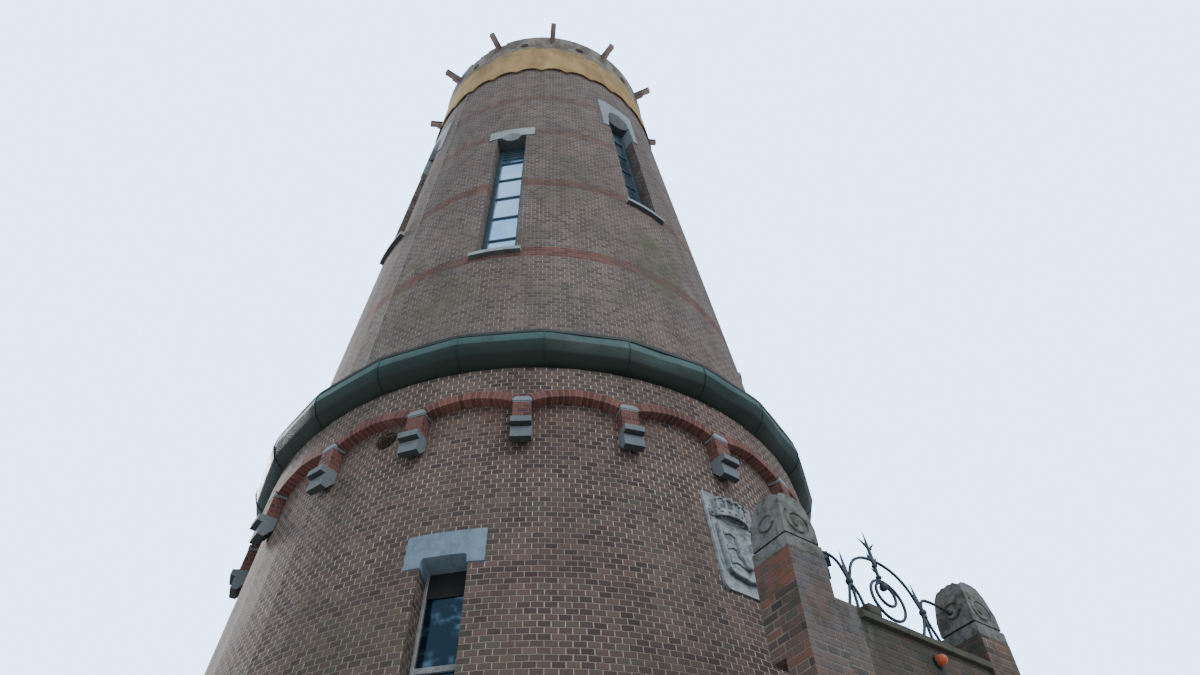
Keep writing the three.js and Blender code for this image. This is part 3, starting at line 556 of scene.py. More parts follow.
def makePorchBrick():
    look = porchBrick
    material, shader, t = newMaterial("porchBrick")
    position = t.position()
    turnBack = (0, 0, -math.radians(tower["doorAxis"]))
    x, y, z = t.parts(t.mapped(position, "Rotation", turnBack))
    nx, ny, nz = t.parts(t.mapped(t.facing(), "Rotation", turnBack, "NORMAL"))
    across = t.plus(t.blend(t.isOver(t.size(nx), facesIt), x, y), look["away"])
    up = t.over(t.blend(t.isOver(t.size(nz), facesIt), z, t.plus(y, look["away"])), tower["course"])
    length = t.blend(t.remainder(t.floor(up), 2.0), 2 * tower["header"], tower["header"])
    cells = t.group(brickCells, Along=t.over(across, length), Up=up, Shift=halfBrick, Count=look["count"],
                    Length=length, Joint=look["joint"], Position=position)
    aged = t.group(weather, Position=position)
    colour = t.ramp(cells["Tone"], look["tones"])
    joint = t.most(cells["Bed"], cells["Upright"])
    # Joints are pale on the piers' faces and dirty in patches
    wall = t.within(x, *look["wall"])
    clean = t.patches(position, look["cleanNoise"], look["clean"])
    clean = t.times(clean, t.blend(wall, 1.0, look["wallClean"]))
    colour = t.mix(t.times(joint, clean), colour, look["jointColour"])
    colour = t.mix(t.times(wall, look["wallDark"]), colour, look["wallTone"])
    colour = t.shade(colour, agedShade(t, aged, look))
    damp = t.times(t.step(z, *look["mossUp"]), t.patches(position, look["mossNoise"], look["mossPatches"]))
    corner = t.times(t.step(z, *look["cornerUp"]), t.step(x, *look["cornerAcross"]), wall)
    damp = t.most(damp, t.times(corner, t.step(aged["Grain"], *look["cornerGrain"])))
    colour = t.mix(t.times(damp, look["mossAmount"]), colour, look["moss"])
    # Lime that has run down beside the left pier's cap
    spec = look["lime"]
    lime = t.times(t.within(x, *spec["across"]), t.step(z, *spec["up"]))
    lime = t.times(lime, t.patches(position, spec["noise"], spec["patches"]), spec["amount"])
    colour = t.mix(lime, colour, spec["tone"])
    # Grey bloom on the left pier's front, and a patch of redder brick under its cap
    spec = look["bloom"]
    bloom = t.times(t.within(x, *spec["across"]), t.step(z, *spec["up"]), t.step(ny, *spec["front"]))
    bloom = t.times(bloom, t.patches(position, spec["noise"], spec["patches"]))
    colour = t.mix(bloom, colour, spec["tone"])
    spec = look["orange"]
    orange = t.times(t.step(nx, *spec["side"]), t.step(z, *spec["up"]), t.step(x, *spec["across"]))
    orange = t.times(orange, t.patches(position, spec["noise"], spec["patches"]))
    colour = t.mix(orange, colour, spec["tone"])
    height = t.timesPlus(aged["Grain"], look["grainBump"], cells["Height"])
    paint(t, shader, colour, height, look["deep"], t.step(aged["Cloud"], *look["gloss"]))
    return material


# A weathered surface: a main colour, a second one in patches, streaks and a fine grain, and where asked
# painted shade on faces that look down
weathered = {
    "patchNoise": (6.0, 0.65),
    "patches": (0.42, 0.66),
    "streaks": (0.3, 0.7),
    "grain": (0.3, 0.7, 0.93, 1.06),
    "slopes": (-0.24, -0.1),     # upright part of the normal on faces that slope down
    "soffits": (-0.95, -0.7),
    "paintedUnderShade": tint(26, 29, 25),
    "smoother": 0.06,
    "rougher": 0.05,
    "patchBump": 0.5,
}


def makeWeathered(name, main, second, amount=0.5, roughness=0.85, metallic=0.0, grainDeep=0.002, streaks=0.2,
                  patchScale=7.0, under=None):
    look = weathered
    material, shader, t = newMaterial(name, roughness, metallic)
    position = t.position()
    aged = t.group(weather, Position=position)
    patch = t.step(t.noise(position, patchScale, *look["patchNoise"]), *look["patches"])
    colour = t.mix(t.times(patch, amount), main, second)
    streak = t.step(aged["Streak"], *look["streaks"], 1.0 - streaks, 1.0 + streaks / 2)
    colour = t.shade(colour, t.times(streak, t.step(aged["Grain"], *look["grain"])))
    if under:
        # Painted shade on faces that look down: first number for slopes, second for level ones
        level = t.parts(t.facing())[2]
        slope, soffit = under
        sloping = t.step(level, *look["slopes"], slope, 0.0)
        colour = t.mix(t.most(sloping, t.step(level, *look["soffits"], soffit, 0.0)), colour, look["paintedUnderShade"])
    low, high = max(0.0, roughness - look["smoother"]), min(1.0, roughness + look["rougher"])
    height = t.timesPlus(patch, look["patchBump"], aged["Grain"])
    paint(t, shader, colour, height, grainDeep, t.step(patch, 0.0, 1.0, low, high))
    return material


# Ochre plaster that has weathered to grey towards the top
plaster = {
    "roughness": 0.9,
    "raggedNoise": (3.4, 6.0, 0.7),
    "ragged": 1.3,
    "grey": (18.92, 19.16),
    "greyTones": (tint(112, 106, 96), tint(84, 76, 68)),
    "ochreNoise": (2.2, 5.0, 0.6),
    "ochre": (0.38, 0.64),
    "ochreTones": (tint(156, 122, 72), tint(176, 148, 98)),
    "runNoise": (5.0, 5.0, 0.6, (1.0, 1.0, 0.16)),
    "runs": (0.52, 0.7, 0.0, 0.3),
    "runTone": tint(206, 188, 150),
    "dirtNoise": (2.8, 6.0, 0.7, (1.0, 1.0, 0.5)),
    "dirt": (0.46, 0.62),
    "dirtUp": (18.2, 19.0, 0.15, 0.8),
    "dirtTone": tint(128, 116, 88),
    "streaks": (0.5, 0.72, 0.0, 0.55),
    "streakTone": tint(118, 94, 64),
    # painted shadow on the band's faces that look down, along its lower edge
    "under": (-0.95, -0.45, 0.9, 0.0),
    "underShadeTone": tint(44, 32, 30),
    "patchBump": 0.6,
    "deep": 0.004,
}


def makePlaster():
    look = plaster
    material, shader, t = newMaterial("plasterBand", look["roughness"])
    position = t.position()
    aged = t.group(weather, Position=position)
    z = t.parts(position)[2]
    ragged = t.timesPlus(t.minus(t.noise(position, *look["raggedNoise"]), 0.5), look["ragged"], z)
    ochre = t.mix(t.patches(position, look["ochreNoise"], look["ochre"]), *look["ochreTones"])
    ochre = t.mix(t.patches(position, look["runNoise"], look["runs"]), ochre, look["runTone"])
    dirt = t.times(t.patches(position, look["dirtNoise"], look["dirt"]), t.step(z, *look["dirtUp"]))
    ochre = t.mix(dirt, ochre, look["dirtTone"])
    ochre = t.mix(t.step(aged["Streak"], *look["streaks"]), ochre, look["streakTone"])
    colour = t.mix(t.step(ragged, *look["grey"]), ochre, t.mix(aged["Patch"], *look["greyTones"]))
    # Painted shadow under the band's lower edge
    under = t.step(t.parts(t.facing())[2], *look["under"])
    height = t.timesPlus(aged["Patch"], look["patchBump"], aged["Grain"])
    paint(t, shader, t.mix(under, colour, look["underShadeTone"]), height, look["deep"])
    return material


# Painted metal of the ledge, with painted highlight towards the top edge and painted shade along the foot
# and underneath
ledgePaint = {
    "roughness": 0.5,
    "specular": 0.3,
    "levelNoise": (2.6, 6.0, 0.65),
    "ragged": 0.28,
    "level": (8.74, 8.93),
    "tones": (tint(22, 44, 38), tint(56, 88, 84)),
    "streaks": (0.5, 0.7, 0.0, 0.5),
    "streakTone": tint(30, 50, 45),
    "under": (-0.35, -0.12, 0.92, 0.0),
    "underShadeTone": tint(13, 28, 18),
    "gloss": (0.3, 0.7, 0.42, 0.66),
    "dentNoise": (1.7, 2.0, 0.5),
    "grainBump": 0.05,
    "deep": 0.03,
}


def makeLedgeMetal():
    look = ledgePaint
    material, shader, t = newMaterial("ledgeMetal", look["roughness"])
    shader.inputs["Specular IOR Level"].default_value = look["specular"]
    position = t.position()
    aged = t.group(weather, Position=position)
    ragged = t.minus(t.noise(position, *look["levelNoise"]), 0.5)
    level = t.timesPlus(ragged, look["ragged"], t.parts(position)[2])
    # Painted highlight towards the top edge, painted shade towards the foot
    colour = t.mix(t.step(level, *look["level"]), *look["tones"])
    colour = t.mix(t.step(aged["Streak"], *look["streaks"]), colour, look["streakTone"])
    # Painted shade on faces that look down
    colour = t.mix(t.step(t.parts(t.facing())[2], *look["under"]), colour, look["underShadeTone"])
    height = t.timesPlus(aged["Grain"], look["grainBump"], t.noise(position, *look["dentNoise"]))
    paint(t, shader, colour, height, look["deep"], t.step(aged["Cloud"], *look["gloss"]))
    return material


# Window glass: colours that are a painted reflection of the sky, with a faint unevenness
glazing = {"metallic": 0.85, "cloud": (5.0, 0.6), "uneven": (2.2, 1.0, 0.4), "deep": 0.01}


def makeGlass(name, main, second, roughness, scale=1.4, low=0.35, high=0.65):
    look = glazing
    material, shader, t = newMaterial(name, roughness, look["metallic"])
    position = t.position()
    cloud = t.noise(position, scale, *look["cloud"])
    colour = t.mix(t.step(cloud, low, high), main, second)
    paint(t, shader, colour, t.noise(position, *look["uneven"]), look["deep"])
    return material


doorPaint = {
    "roughness": 0.5,
    "grainNoise": (26.0, 5.0, 0.6, (1.0, 1.0, 0.05)),
    "grain": (0.35, 0.65),
    "tones": (tint(38, 66, 58), tint(56, 86, 76)),
    "wornNoise": (12.0, 6.0, 0.7),
    "worn": (0.6, 0.74, 0.0, 0.5),
    "wornTone": tint(112, 104, 88),
    "gloss": (0.3, 0.7, 0.42, 0.6),
    "deep": 0.0015,
}


def makeDoorPaint():
    look = doorPaint
    material, shader, t = newMaterial("doorPaint", look["roughness"])
    position = t.position()
    grain = t.noise(position, *look["grainNoise"])
    worn = t.patches(position, look["wornNoise"], look["worn"])
    colour = t.mix(t.step(grain, *look["grain"]), *look["tones"])
    colour = t.mix(worn, colour, look["wornTone"])
    paint(t, shader, colour, grain, look["deep"], t.step(grain, *look["gloss"]))
    return material


materials = {
    "towerBrick": makeTowerBrick(),
    "arcadeBrick": makeArcadeBrick(),
    "porchBrick": makePorchBrick(),
    "ledgeMetal": makeLedgeMetal(),
    "plaster": makePlaster(),
    "ring": makeWeathered("weatheredRing", tint(138, 132, 122), tint(92, 84, 74), amount=0.8, roughness=0.92,
                          grainDeep=0.006, streaks=0.35, patchScale=4.0),
    "rust": makeWeathered("rustySteel", tint(152, 136, 132), tint(140, 108, 94), amount=0.6, roughness=0.9,
                          streaks=0.3),
    "concrete": makeWeathered("plainConcrete", tint(146, 144, 138), tint(118, 114, 106), amount=0.6,
                              roughness=0.9, streaks=0.1, patchScale=3.0),
    "zinc": makeWeathered("zincSheet", tint(126, 136, 132), tint(96, 106, 102), amount=0.6, roughness=0.5,
                          metallic=0.6, grainDeep=0.001, streaks=0.25, patchScale=3.0),
    # These stones get painted shade on their faces that look down (under=): sills, heads, relief, coping and
    # caps
    "stone": makeWeathered("blueStone", tint(119, 139, 154), tint(98, 113, 124), amount=0.6, roughness=0.82,
                           patchScale=9.0, under=(0.0, 0.2)),
    "paleStone": makeWeathered("paleStone", tint(158, 168, 168), tint(126, 135, 136), amount=0.6,
                               roughness=0.82, streaks=0.15, patchScale=9.0, under=(0.15, 0.8)),
    # Strongest painted shade here, in the high windows' hollow heads
    "hollowStone": makeWeathered("hollowStone", tint(146, 156, 160), tint(116, 125, 128), amount=0.6,
                                 roughness=0.82, streaks=0.15, patchScale=9.0, under=(0.7, 0.88)),
    "reliefStone": makeWeathered("reliefStone", tint(156, 164, 166), tint(98, 107, 109), amount=0.85,
                                 roughness=0.86, grainDeep=0.004, streaks=0.25, patchScale=13.0,
                                 under=(0.35, 0.75)),
    # Dark main colour: partly moss, partly painted shade along the coping's thin front face
    "copingStone": makeWeathered("copingStone", tint(72, 72, 64), tint(94, 88, 66),
                                 amount=0.7, roughness=0.93, grainDeep=0.006, patchScale=9.0,
                                 under=(0.2, 0.6)),
    "capStone": makeWeathered("weatheredShadedStone", tint(120, 122, 118), tint(76, 78, 64), amount=0.9,
                              roughness=0.92, grainDeep=0.008, streaks=0.3, patchScale=11.0,
                              under=(0.45, 0.7)),
    "iron": makeWeathered("wroughtIron", tint(50, 62, 72), tint(74, 66, 60), roughness=0.5, metallic=0.5,
                          grainDeep=0.0012, streaks=0.15, patchScale=40.0),
    "windowSteel": makeWeathered("windowSteel", tint(46, 74, 84), tint(34, 54, 60), roughness=0.42,
                                 metallic=0.2, grainDeep=0.0008, streaks=0.25, patchScale=14.0),
    "glass": makeGlass("paintedSkyGlass", tint(196, 232, 255), tint(158, 206, 255), 0.08),
    "dimGlass": makeGlass("dimGlass", tint(122, 152, 164), tint(86, 114, 126), 0.12),
    # Painted reflection of clouds in the drum windows' glass
    "paintedCloudGlass": makeGlass("paintedCloudGlass", tint(34, 54, 66), tint(98, 130, 146), 0.1, 4.0, 0.5, 0.7),
    # Near-black board where the drum windows show only shade under their lintels: painted shade
    "paintedShadowBoard": makeWeathered("paintedShadowBoard", tint(20, 19, 18), tint(34, 31, 28), patchScale=20.0),
    "lamp": makeWeathered("orangeLamp", tint(184, 84, 42), tint(140, 58, 28), roughness=0.32,
                          grainDeep=0.0006, streaks=0.1, patchScale=30.0),
    "lampBase": makeWeathered("lampBase", tint(46, 44, 44), tint(66, 60, 56), roughness=0.5, metallic=0.2,
                              grainDeep=0.0006, streaks=0.1, patchScale=30.0),
    "door": makeDoorPaint(),
    "lead": makeWeathered("leadStrip", tint(48, 52, 52), tint(76, 78, 74), roughness=0.7, metallic=0.1,
                          grainDeep=0.001, patchScale=12.0),
    "palePaint": makeWeathered("palePaint", tint(146, 148, 148), tint(104, 102, 98),
                               amount=0.6, roughness=0.5, grainDeep=0.001, patchScale=20.0),
    "conductorMetal": makeWeathered("conductorMetal", tint(118, 120, 116), tint(96, 96, 90), amount=0.6,
                                    roughness=0.6, metallic=0.2, grainDeep=0.001,
                                    streaks=0.25, patchScale=3.0),
}


def dress(name, material):
    mesh = nodes[name].data
    mesh.materials.clear()
    mesh.materials.append(material)


for i in range(1, 5):
    dress(f"drum_wall_{i}", materials["towerBrick"])
    dress(f"shaft_wall_{i}", materials["towerBrick"])
    dress(f"arcade_{i}", materials["arcadeBrick"])
    dress(f"ochre_band_{i}", materials["plaster"])
    for row in ("drum", "low", "high"):
        dress(f"{row}_window_{i}", materials["stone"])
for side in ("left", "right"):
    dress(f"porch_pier_{side}", materials["porchBrick"])
    dress(f"porch_side_{side}", materials["porchBrick"])
    dress(f"pier_cap_{side}", materials["capStone"])
for name, word in {
    "ledge": "ledgeMetal", "top_ring": "ring", "upper_beams": "rust", "lower_beams": "rust",
    "roof_deck": "concrete", "ground_floor": "concrete", "first_floor": "concrete",
    "ledge_floor": "concrete", "conductor": "zinc", "relief_slab": "stone", "porch_front_wall": "porchBrick",
    "porch_floor": "concrete", "porch_roof": "zinc", "porch_door": "door", "parapet_coping": "capStone",
    "cresting": "iron", "wall_lamp": "lamp",
}.items():
    dress(name, materials[word])
print("materials on the solids")

# Camera where the photograph was taken, floor and light
view = {"place": (0, -10, 1.6), "yaw": 0.095075, "pitch": 0.842645, "roll": -0.055746,
        "focal": 924.507, "width": 1200, "sensor": 36, "far": 300}
studio = {
    "tone": tint(222, 236, 255),
    "strength": 0.8,
    "glossyStrength": 1.1,
    "backdrop": tint(178, 214, 255),
    "backdropStrength": 5.8,
    "soft": {"place": (8, -12, 25), "turn": (48, 14, 20), "energy": 1.3, "angle": 35},
    "rim": {"place": (-20, 18, 20), "from": (-0.62, 0.56, 0.55), "energy": 4.0, "angle": 14},
    "floorSize": 90,
    "floorLevel": -0.002,
    "floorTone": tint(188, 188, 186),
}


def placeCamera():
    yaw, pitch, roll = view["yaw"], view["pitch"], view["roll"]
    level = math.cos(pitch)
    ahead = Vector((math.sin(yaw) * level, math.cos(yaw) * level, math.sin(pitch)))
    right = Vector((math.cos(yaw), -math.sin(yaw), 0))
    over = right.cross(ahead)
    c, s = math.cos(roll), math.sin(roll)
    axisX = c * right + s * over
    axisY = -s * right + c * over
    bpy.ops.object.select_all(action="DESELECT")
    bpy.ops.object.camera_add(location=view["place"])
    camera = bpy.context.object
    camera.name = "photoCamera"
    camera.rotation_euler = Matrix((axisX, axisY, -ahead)).transposed().to_euler()
    camera.data.sensor_width = view["sensor"]
    camera.data.lens = view["focal"] * view["sensor"] / view["width"]
    camera.data.clip_end = view["far"]
    bpy.context.scene.camera = camera


def addSun(name, spec, rotation):
    bpy.ops.object.light_add(type="SUN", location=spec["place"], rotation=rotation)
    sun = bpy.context.object
    sun.name = name
    sun.data.energy = spec["energy"]
    sun.data.angle = math.radians(spec["angle"])


def lightStudio():
    look = studio
    world = bpy.data.worlds.new("paleStudio")
    bpy.context.scene.world = world
    world.use_nodes = True
    t = nodeTools(world.node_tree)
    background = world.node_tree.nodes["Background"]
    # The backdrop shows brighter than the light it gives
    rays = world.node_tree.nodes.new("ShaderNodeLightPath").outputs
    light = t.blend(rays["Is Glossy Ray"], look["strength"], look["glossyStrength"])
    t.feed(background.inputs["Strength"], t.blend(rays["Is Camera Ray"], light, look["backdropStrength"]))
    t.feed(background.inputs["Color"], t.mix(rays["Is Camera Ray"], look["tone"], look["backdrop"]))
    addSun("softSun", look["soft"], [math.radians(turn) for turn in look["soft"]["turn"]])
    # A second one behind on the left brightens that edge of the tower
    addSun("rimSun", look["rim"], Vector(look["rim"]["from"]).to_track_quat("Z", "Y").to_euler())
    bpy.ops.mesh.primitive_plane_add(size=look["floorSize"], location=(0, 0, look["floorLevel"]))
    floor = bpy.context.object
    floor.name = "studioFloor"
    material, shader, t = newMaterial("studioFloor", 0.9)
    shader.inputs["Base Color"].default_value = look["floorTone"]
    floor.data.materials.append(material)


placeCamera()
lightStudio()
print("camera and light")


# Small tools for modelling by hand
def clearSelection():
    if bpy.context.object and bpy.context.object.mode != "OBJECT":
        bpy.ops.object.mode_set(mode="OBJECT")
    bpy.ops.object.select_all(action="DESELECT")


def pick(obj):
    clearSelection()
    obj.select_set(True)
    bpy.context.view_layer.objects.active = obj


def editMesh(obj, mode="FACE"):
    pick(obj)
    bpy.ops.object.mode_set(mode="EDIT")
    bpy.ops.mesh.select_mode(type=mode)
    bpy.ops.mesh.select_all(action="DESELECT")
    return bmesh.from_edit_mesh(obj.data)


def leaveEdit(obj):
    bpy.ops.mesh.select_all(action="SELECT")
    bpy.ops.mesh.normals_make_consistent(inside=False)
    bpy.ops.object.mode_set(mode="OBJECT")
    return obj


def settle(obj):
    pick(obj)
    bpy.ops.object.transform_apply(location=True, rotation=True, scale=True)
    return obj


def roundEdges(obj, width, segments=2, angle=35):
    pick(obj)
    edge = obj.modifiers.new("Edge", "BEVEL")
    edge.width = width
    edge.segments = segments
    edge.limit_method = "ANGLE"
    edge.angle_limit = math.radians(angle)
    bpy.ops.object.modifier_apply(modifier=edge.name)
    return obj


def smooth(obj, angle=35):
    pick(obj)
    bpy.ops.object.shade_smooth_by_angle(angle=math.radians(angle))
    return obj


# Block between two corners
def block(name, low, high, edge=0.0):
    clearSelection()
    size = [b - a for a, b in zip(low, high)]
    centre = [(a + b) / 2 for a, b in zip(low, high)]
    bpy.ops.mesh.primitive_cube_add(size=1, location=centre, scale=size)
    obj = bpy.context.object
    obj.name = name
    settle(obj)
    return roundEdges(obj, edge) if edge else obj


# Closed ring of points on a circle, as cosine and sine
def circle(count):
    return [(math.cos(2 * math.pi * k / count), math.sin(2 * math.pi * k / count)) for k in range(count)]


def cylinder(name, sides, radius, depth, location, edge, segments=2):
    clearSelection()
    bpy.ops.mesh.primitive_cylinder_add(vertices=sides, radius=radius, depth=depth, location=location)
    obj = bpy.context.object
    obj.name = name
    return roundEdges(settle(obj), edge, segments)


# Upright strip from a grid: columns at the given x between two curves, pushed from y0 to y1
def strip(name, columns, low, high, y0, y1):
    clearSelection()
    bpy.ops.mesh.primitive_grid_add(x_subdivisions=len(columns), y_subdivisions=2, size=2)
    obj = bpy.context.object
    obj.name = name
    places = sorted({round(v.co.x, 4) for v in obj.data.vertices})
    rows = sorted({round(v.co.y, 4) for v in obj.data.vertices})
    for v in obj.data.vertices:
        i = places.index(round(v.co.x, 4)) * (len(columns) - 1) / (len(places) - 1)
        x = columns[int(round(i))]
        part = rows.index(round(v.co.y, 4)) / (len(rows) - 1)
        v.co = (x, y0, low(x) + (high(x) - low(x)) * part)
    editMesh(obj)
    bpy.ops.mesh.select_all(action="SELECT")
    bpy.ops.mesh.remove_doubles(threshold=1e-5)
    bpy.ops.mesh.extrude_region_move(TRANSFORM_OT_translate={"value": (0, y1 - y0, 0)})
    return leaveEdit(obj)


# Flat plate of any outline in x and z, pushed from y0 to y1
def plate(name, outline, y0, y1, edge=0.0):
    clearSelection()
    bpy.ops.mesh.primitive_circle_add(vertices=len(outline), radius=1, fill_type="NGON")
    obj = bpy.context.object
    obj.name = name
    for v, (x, z) in zip(obj.data.vertices, outline):
        v.co = (x, y0, z)
    editMesh(obj)
    bpy.ops.mesh.select_all(action="SELECT")
    bpy.ops.mesh.extrude_region_move(TRANSFORM_OT_translate={"value": (0, y1 - y0, 0)})
    leaveEdit(obj)
    return roundEdges(obj, edge) if edge else obj


# Rod bent through points, as thick at each point as its weight says
def rod(name, points, radius, weights=None, closed=False, fine=2, corners=4):
    clearSelection()
    bpy.ops.curve.primitive_bezier_curve_add()
    obj = bpy.context.object
    obj.name = name
    curve = obj.data
    curve.dimensions = "3D"
    spline = curve.splines[0]
    spline.bezier_points.add(len(points) - 2)
    for i, (knot, point) in enumerate(zip(spline.bezier_points, points)):
        knot.co = point
        knot.handle_left_type = knot.handle_right_type = "AUTO"
        knot.radius = weights[i] if weights else 1.0
    spline.use_cyclic_u = closed
    curve.bevel_depth = radius
    curve.bevel_resolution = fine
    curve.resolution_u = corners
    curve.use_fill_caps = True
    bpy.ops.object.convert(target="MESH")
    editMesh(obj)
    return leaveEdit(obj)


def ball(name, centre, radius, squash=(1, 1, 1), sides=16):
    clearSelection()
    bpy.ops.mesh.primitive_uv_sphere_add(segments=sides, ring_count=sides // 2,
                                         radius=radius, location=centre)
    obj = bpy.context.object
    obj.name = name
    obj.scale = squash
    return smooth(settle(obj), 60)


def join(name, pieces):
    clearSelection()
    for piece in pieces:
        piece.select_set(True)
    bpy.context.view_layer.objects.active = pieces[0]
    if len(pieces) > 1:
        bpy.ops.object.join()
    pieces[0].name = name
    return pieces[0]


def combine(obj, other, operation):
    pick(obj)
    both = obj.modifiers.new("Both", "BOOLEAN")
    both.operation = operation
    both.solver = "EXACT"
    both.object = other
    bpy.ops.object.modifier_apply(modifier=both.name)
    bpy.data.objects.remove(other)
    return obj


def cutAway(obj, cutter):
    return combine(obj, cutter, "DIFFERENCE")


# Bends a piece that lies along x round a wall of the given radius
def wrap(obj, radius):
    for v in obj.data.vertices:
        v.co.y += radius - math.sqrt(max(0.0, radius * radius - v.co.x * v.co.x))
    return obj


# One copy for each place, every copy with a mesh of its own
def copies(obj, places, names):
    made = []
    for place, name in zip(places, names):
        copy = obj.copy()
        copy.data = obj.data.copy()
        copy.name = name
        copy.data.transform(place)
        bpy.context.collection.objects.link(copy)
        made.append(copy)
    bpy.data.objects.remove(obj)
    return made


def give(obj, material, replaced=()):
    obj.data.materials.clear()
    obj.data.materials.append(materials[material])
    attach(obj, "root")
    if replaced:
        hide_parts(*replaced)
    return obj


def columnsBetween(half, count, extra=()):
    places = [-half + 2 * half * i / count for i in range(count + 1)]
    return sorted({round(x, 5) for x in [*places, *extra]})


# Windows: heights are measured up the wall from the sill. A scoop is the hollow under a head stone:
# its reach, its rise and how steeply it climbs towards the face
windows = {
    # The drum windows' top panel is a dark board standing in for the shade under the lintel
    "drum": {"angles": [-12.9 + turn for turn in (0, 90, 180, 270)], "sill": 4.45,
             "half": 0.221, "height": 1.68, "glass": 1.5, "soffit": 1.775, "opening": 0.2, "corner": 0.035,
             "scoop": None, "sillHalf": 0.33, "headHalf": 0.35, "headTop": 2.04, "frame": 0.03,
             "bars": [0.83], "barHalf": 0.027, "ribs": 0, "glassLook": "paintedCloudGlass",
             "frameLook": "palePaint", "panelLook": "paintedShadowBoard", "stoneLook": "stone"},
    "low": {"angles": [-12 + turn for turn in (0, 93, 180, 270)], "sill": 11.25,
            "half": 0.274, "height": 3.68, "glass": 3.29, "soffit": 3.68, "opening": 0.274, "corner": 0.0,
            "scoop": (0.16, 0.112, 1.45), "sillHalf": 0.342, "headHalf": 0.37, "headTop": 3.96,
            "frame": 0.08, "bars": [0.69, 1.328, 1.942, 2.552, 3.147], "barHalf": 0.015, "ribs": 4,
            "glassLook": "glass", "frameLook": "windowSteel", "panelLook": "windowSteel",
            "stoneLook": "paleStone"},
    "high": {"angles": [-12 + turn for turn in (45.8, 135, 225, 315)], "sill": 13.2,
             "half": 0.268, "height": 2.79, "glass": 2.845, "soffit": 3.27, "opening": 0.268, "corner": 0.0,
             "scoop": (0.216, 0.272, 2.6), "sillHalf": 0.345, "headHalf": 0.37, "headTop": 3.89,
             "frame": 0.075, "bars": [0.64, 1.195, 1.75, 2.307], "barHalf": 0.016, "ribs": 0,
             "glassLook": "dimGlass", "frameLook": "windowSteel", "panelLook": "windowSteel",
             "stoneLook": "hollowStone"},
}
frameFront = 0.2
frameBack = 0.26
stoneBack = 0.3
headOut = 0.012
sillOut = 0.06
sillDeep = 0.078
bury = 0.004         # how far the parts of a frame run into each other


def archHeight(half, spring, rise, x):
    radius = (half * half + rise * rise) / (2 * rise)
    return spring + rise - radius + math.sqrt(max(0.0, radius * radius - x * x))


# Windows narrow upwards as the tower does
def narrow(obj, w, reach=1.0):
    for v in obj.data.vertices:
        if abs(v.co.x) <= reach:
            v.co.x *= wallRadius(w["sill"] + v.co.z) / wallRadius(w["sill"])
    return obj


# Head stone: flat soffit with rounded corners, or an arched hollow that slopes up to the face
def headStone(row, w):
    eps = 0.0004
    opening, corner, soffit = w["opening"], w["corner"], w["soffit"]
    outer = [-w["headHalf"], (-w["headHalf"] - opening) / 2, -opening - eps]
    rounded = [opening - corner * (1 - math.cos(math.radians(turn))) for turn in (0, 30, 60, 90)]
    inside = columnsBetween(opening, 12, rounded + [-x for x in rounded])
    columns = outer + inside + [-x for x in reversed(outer)]

    def low(x):
        if abs(x) > opening + eps / 2:
            return w["height"]
        past = max(0.0, abs(x) - opening + corner)
        return soffit - corner + math.sqrt(max(0.0, corner * corner - past * past))

    stone = strip(f"{row}HeadStone", columns, low, lambda x: w["headTop"], -headOut, stoneBack)
    if not corner:
        narrow(stone, w, opening + eps)
    if w["scoop"]:
        reach, rise, slope = w["scoop"]
        arc = [-reach + 2 * reach * i / 20 for i in range(21)]
        curve = [(x, archHeight(reach, soffit - 0.005, rise + 0.005, x)) for x in arc]
        hollow = plate("hollow", [(-reach, soffit - 0.015), *curve, (reach, soffit - 0.015)], -0.1, 0.28)
        for v in hollow.data.vertices:
            v.co.z -= slope * (v.co.y + headOut)
        cutAway(stone, hollow)
    middle = w["sill"] + (w["height"] + w["headTop"]) / 2
    return smooth(roundEdges(wrap(stone, wallRadius(middle)), 0.004, 1, 60), 30)


def sillStone(row, w):
    half = w["sillHalf"]
    columns = columnsBetween(half, 10)
    stone = strip(f"{row}Sill", columns, lambda x: -sillDeep, lambda x: 0.0, -sillOut, stoneBack)
    editMesh(stone, "VERT")
    mesh = bmesh.from_edit_mesh(stone.data)
    for v in mesh.verts:
        if v.co.y < -0.04 and v.co.z > -0.02:
            v.co.z -= 0.006   # top falls outwards so that water runs off
    bmesh.update_edit_mesh(stone.data)
    leaveEdit(stone)
    groove = block("dripCut", (-half + 0.03, -0.038, -0.1), (half - 0.03, -0.026, -0.07))
    cutAway(stone, groove)
    return wrap(stone, wallRadius(w["sill"]))


def steelFrame(row, w):
    half = w["half"] - 0.0006
    bar = w["frame"]
    inner = half - bar
    top = w["soffit"] + 0.006
    reach = inner + bury
    pieces = [
        block("jambLeft", (-half, frameFront, 0.001), (-inner, frameBack, top), 0.004),
        block("jambRight", (inner, frameFront, 0.001), (half, frameBack, top), 0.004),
        block("rail", (-reach, frameFront + 0.003, 0.001), (reach, frameBack - 0.003, bar), 0.004),
    ]
    # A steel panel has one more bar under it
    under = [w["glass"] + 0.016] if w["panelLook"] == w["frameLook"] else []
    for height in w["bars"] + under:
        low = (-reach, frameFront + 0.006, height - w["barHalf"])
        high = (reach, frameBack - 0.012, height + w["barHalf"])
        pieces.append(block("bar", low, high, 0.003))
    return narrow(join(f"{row}Frame", pieces), w)


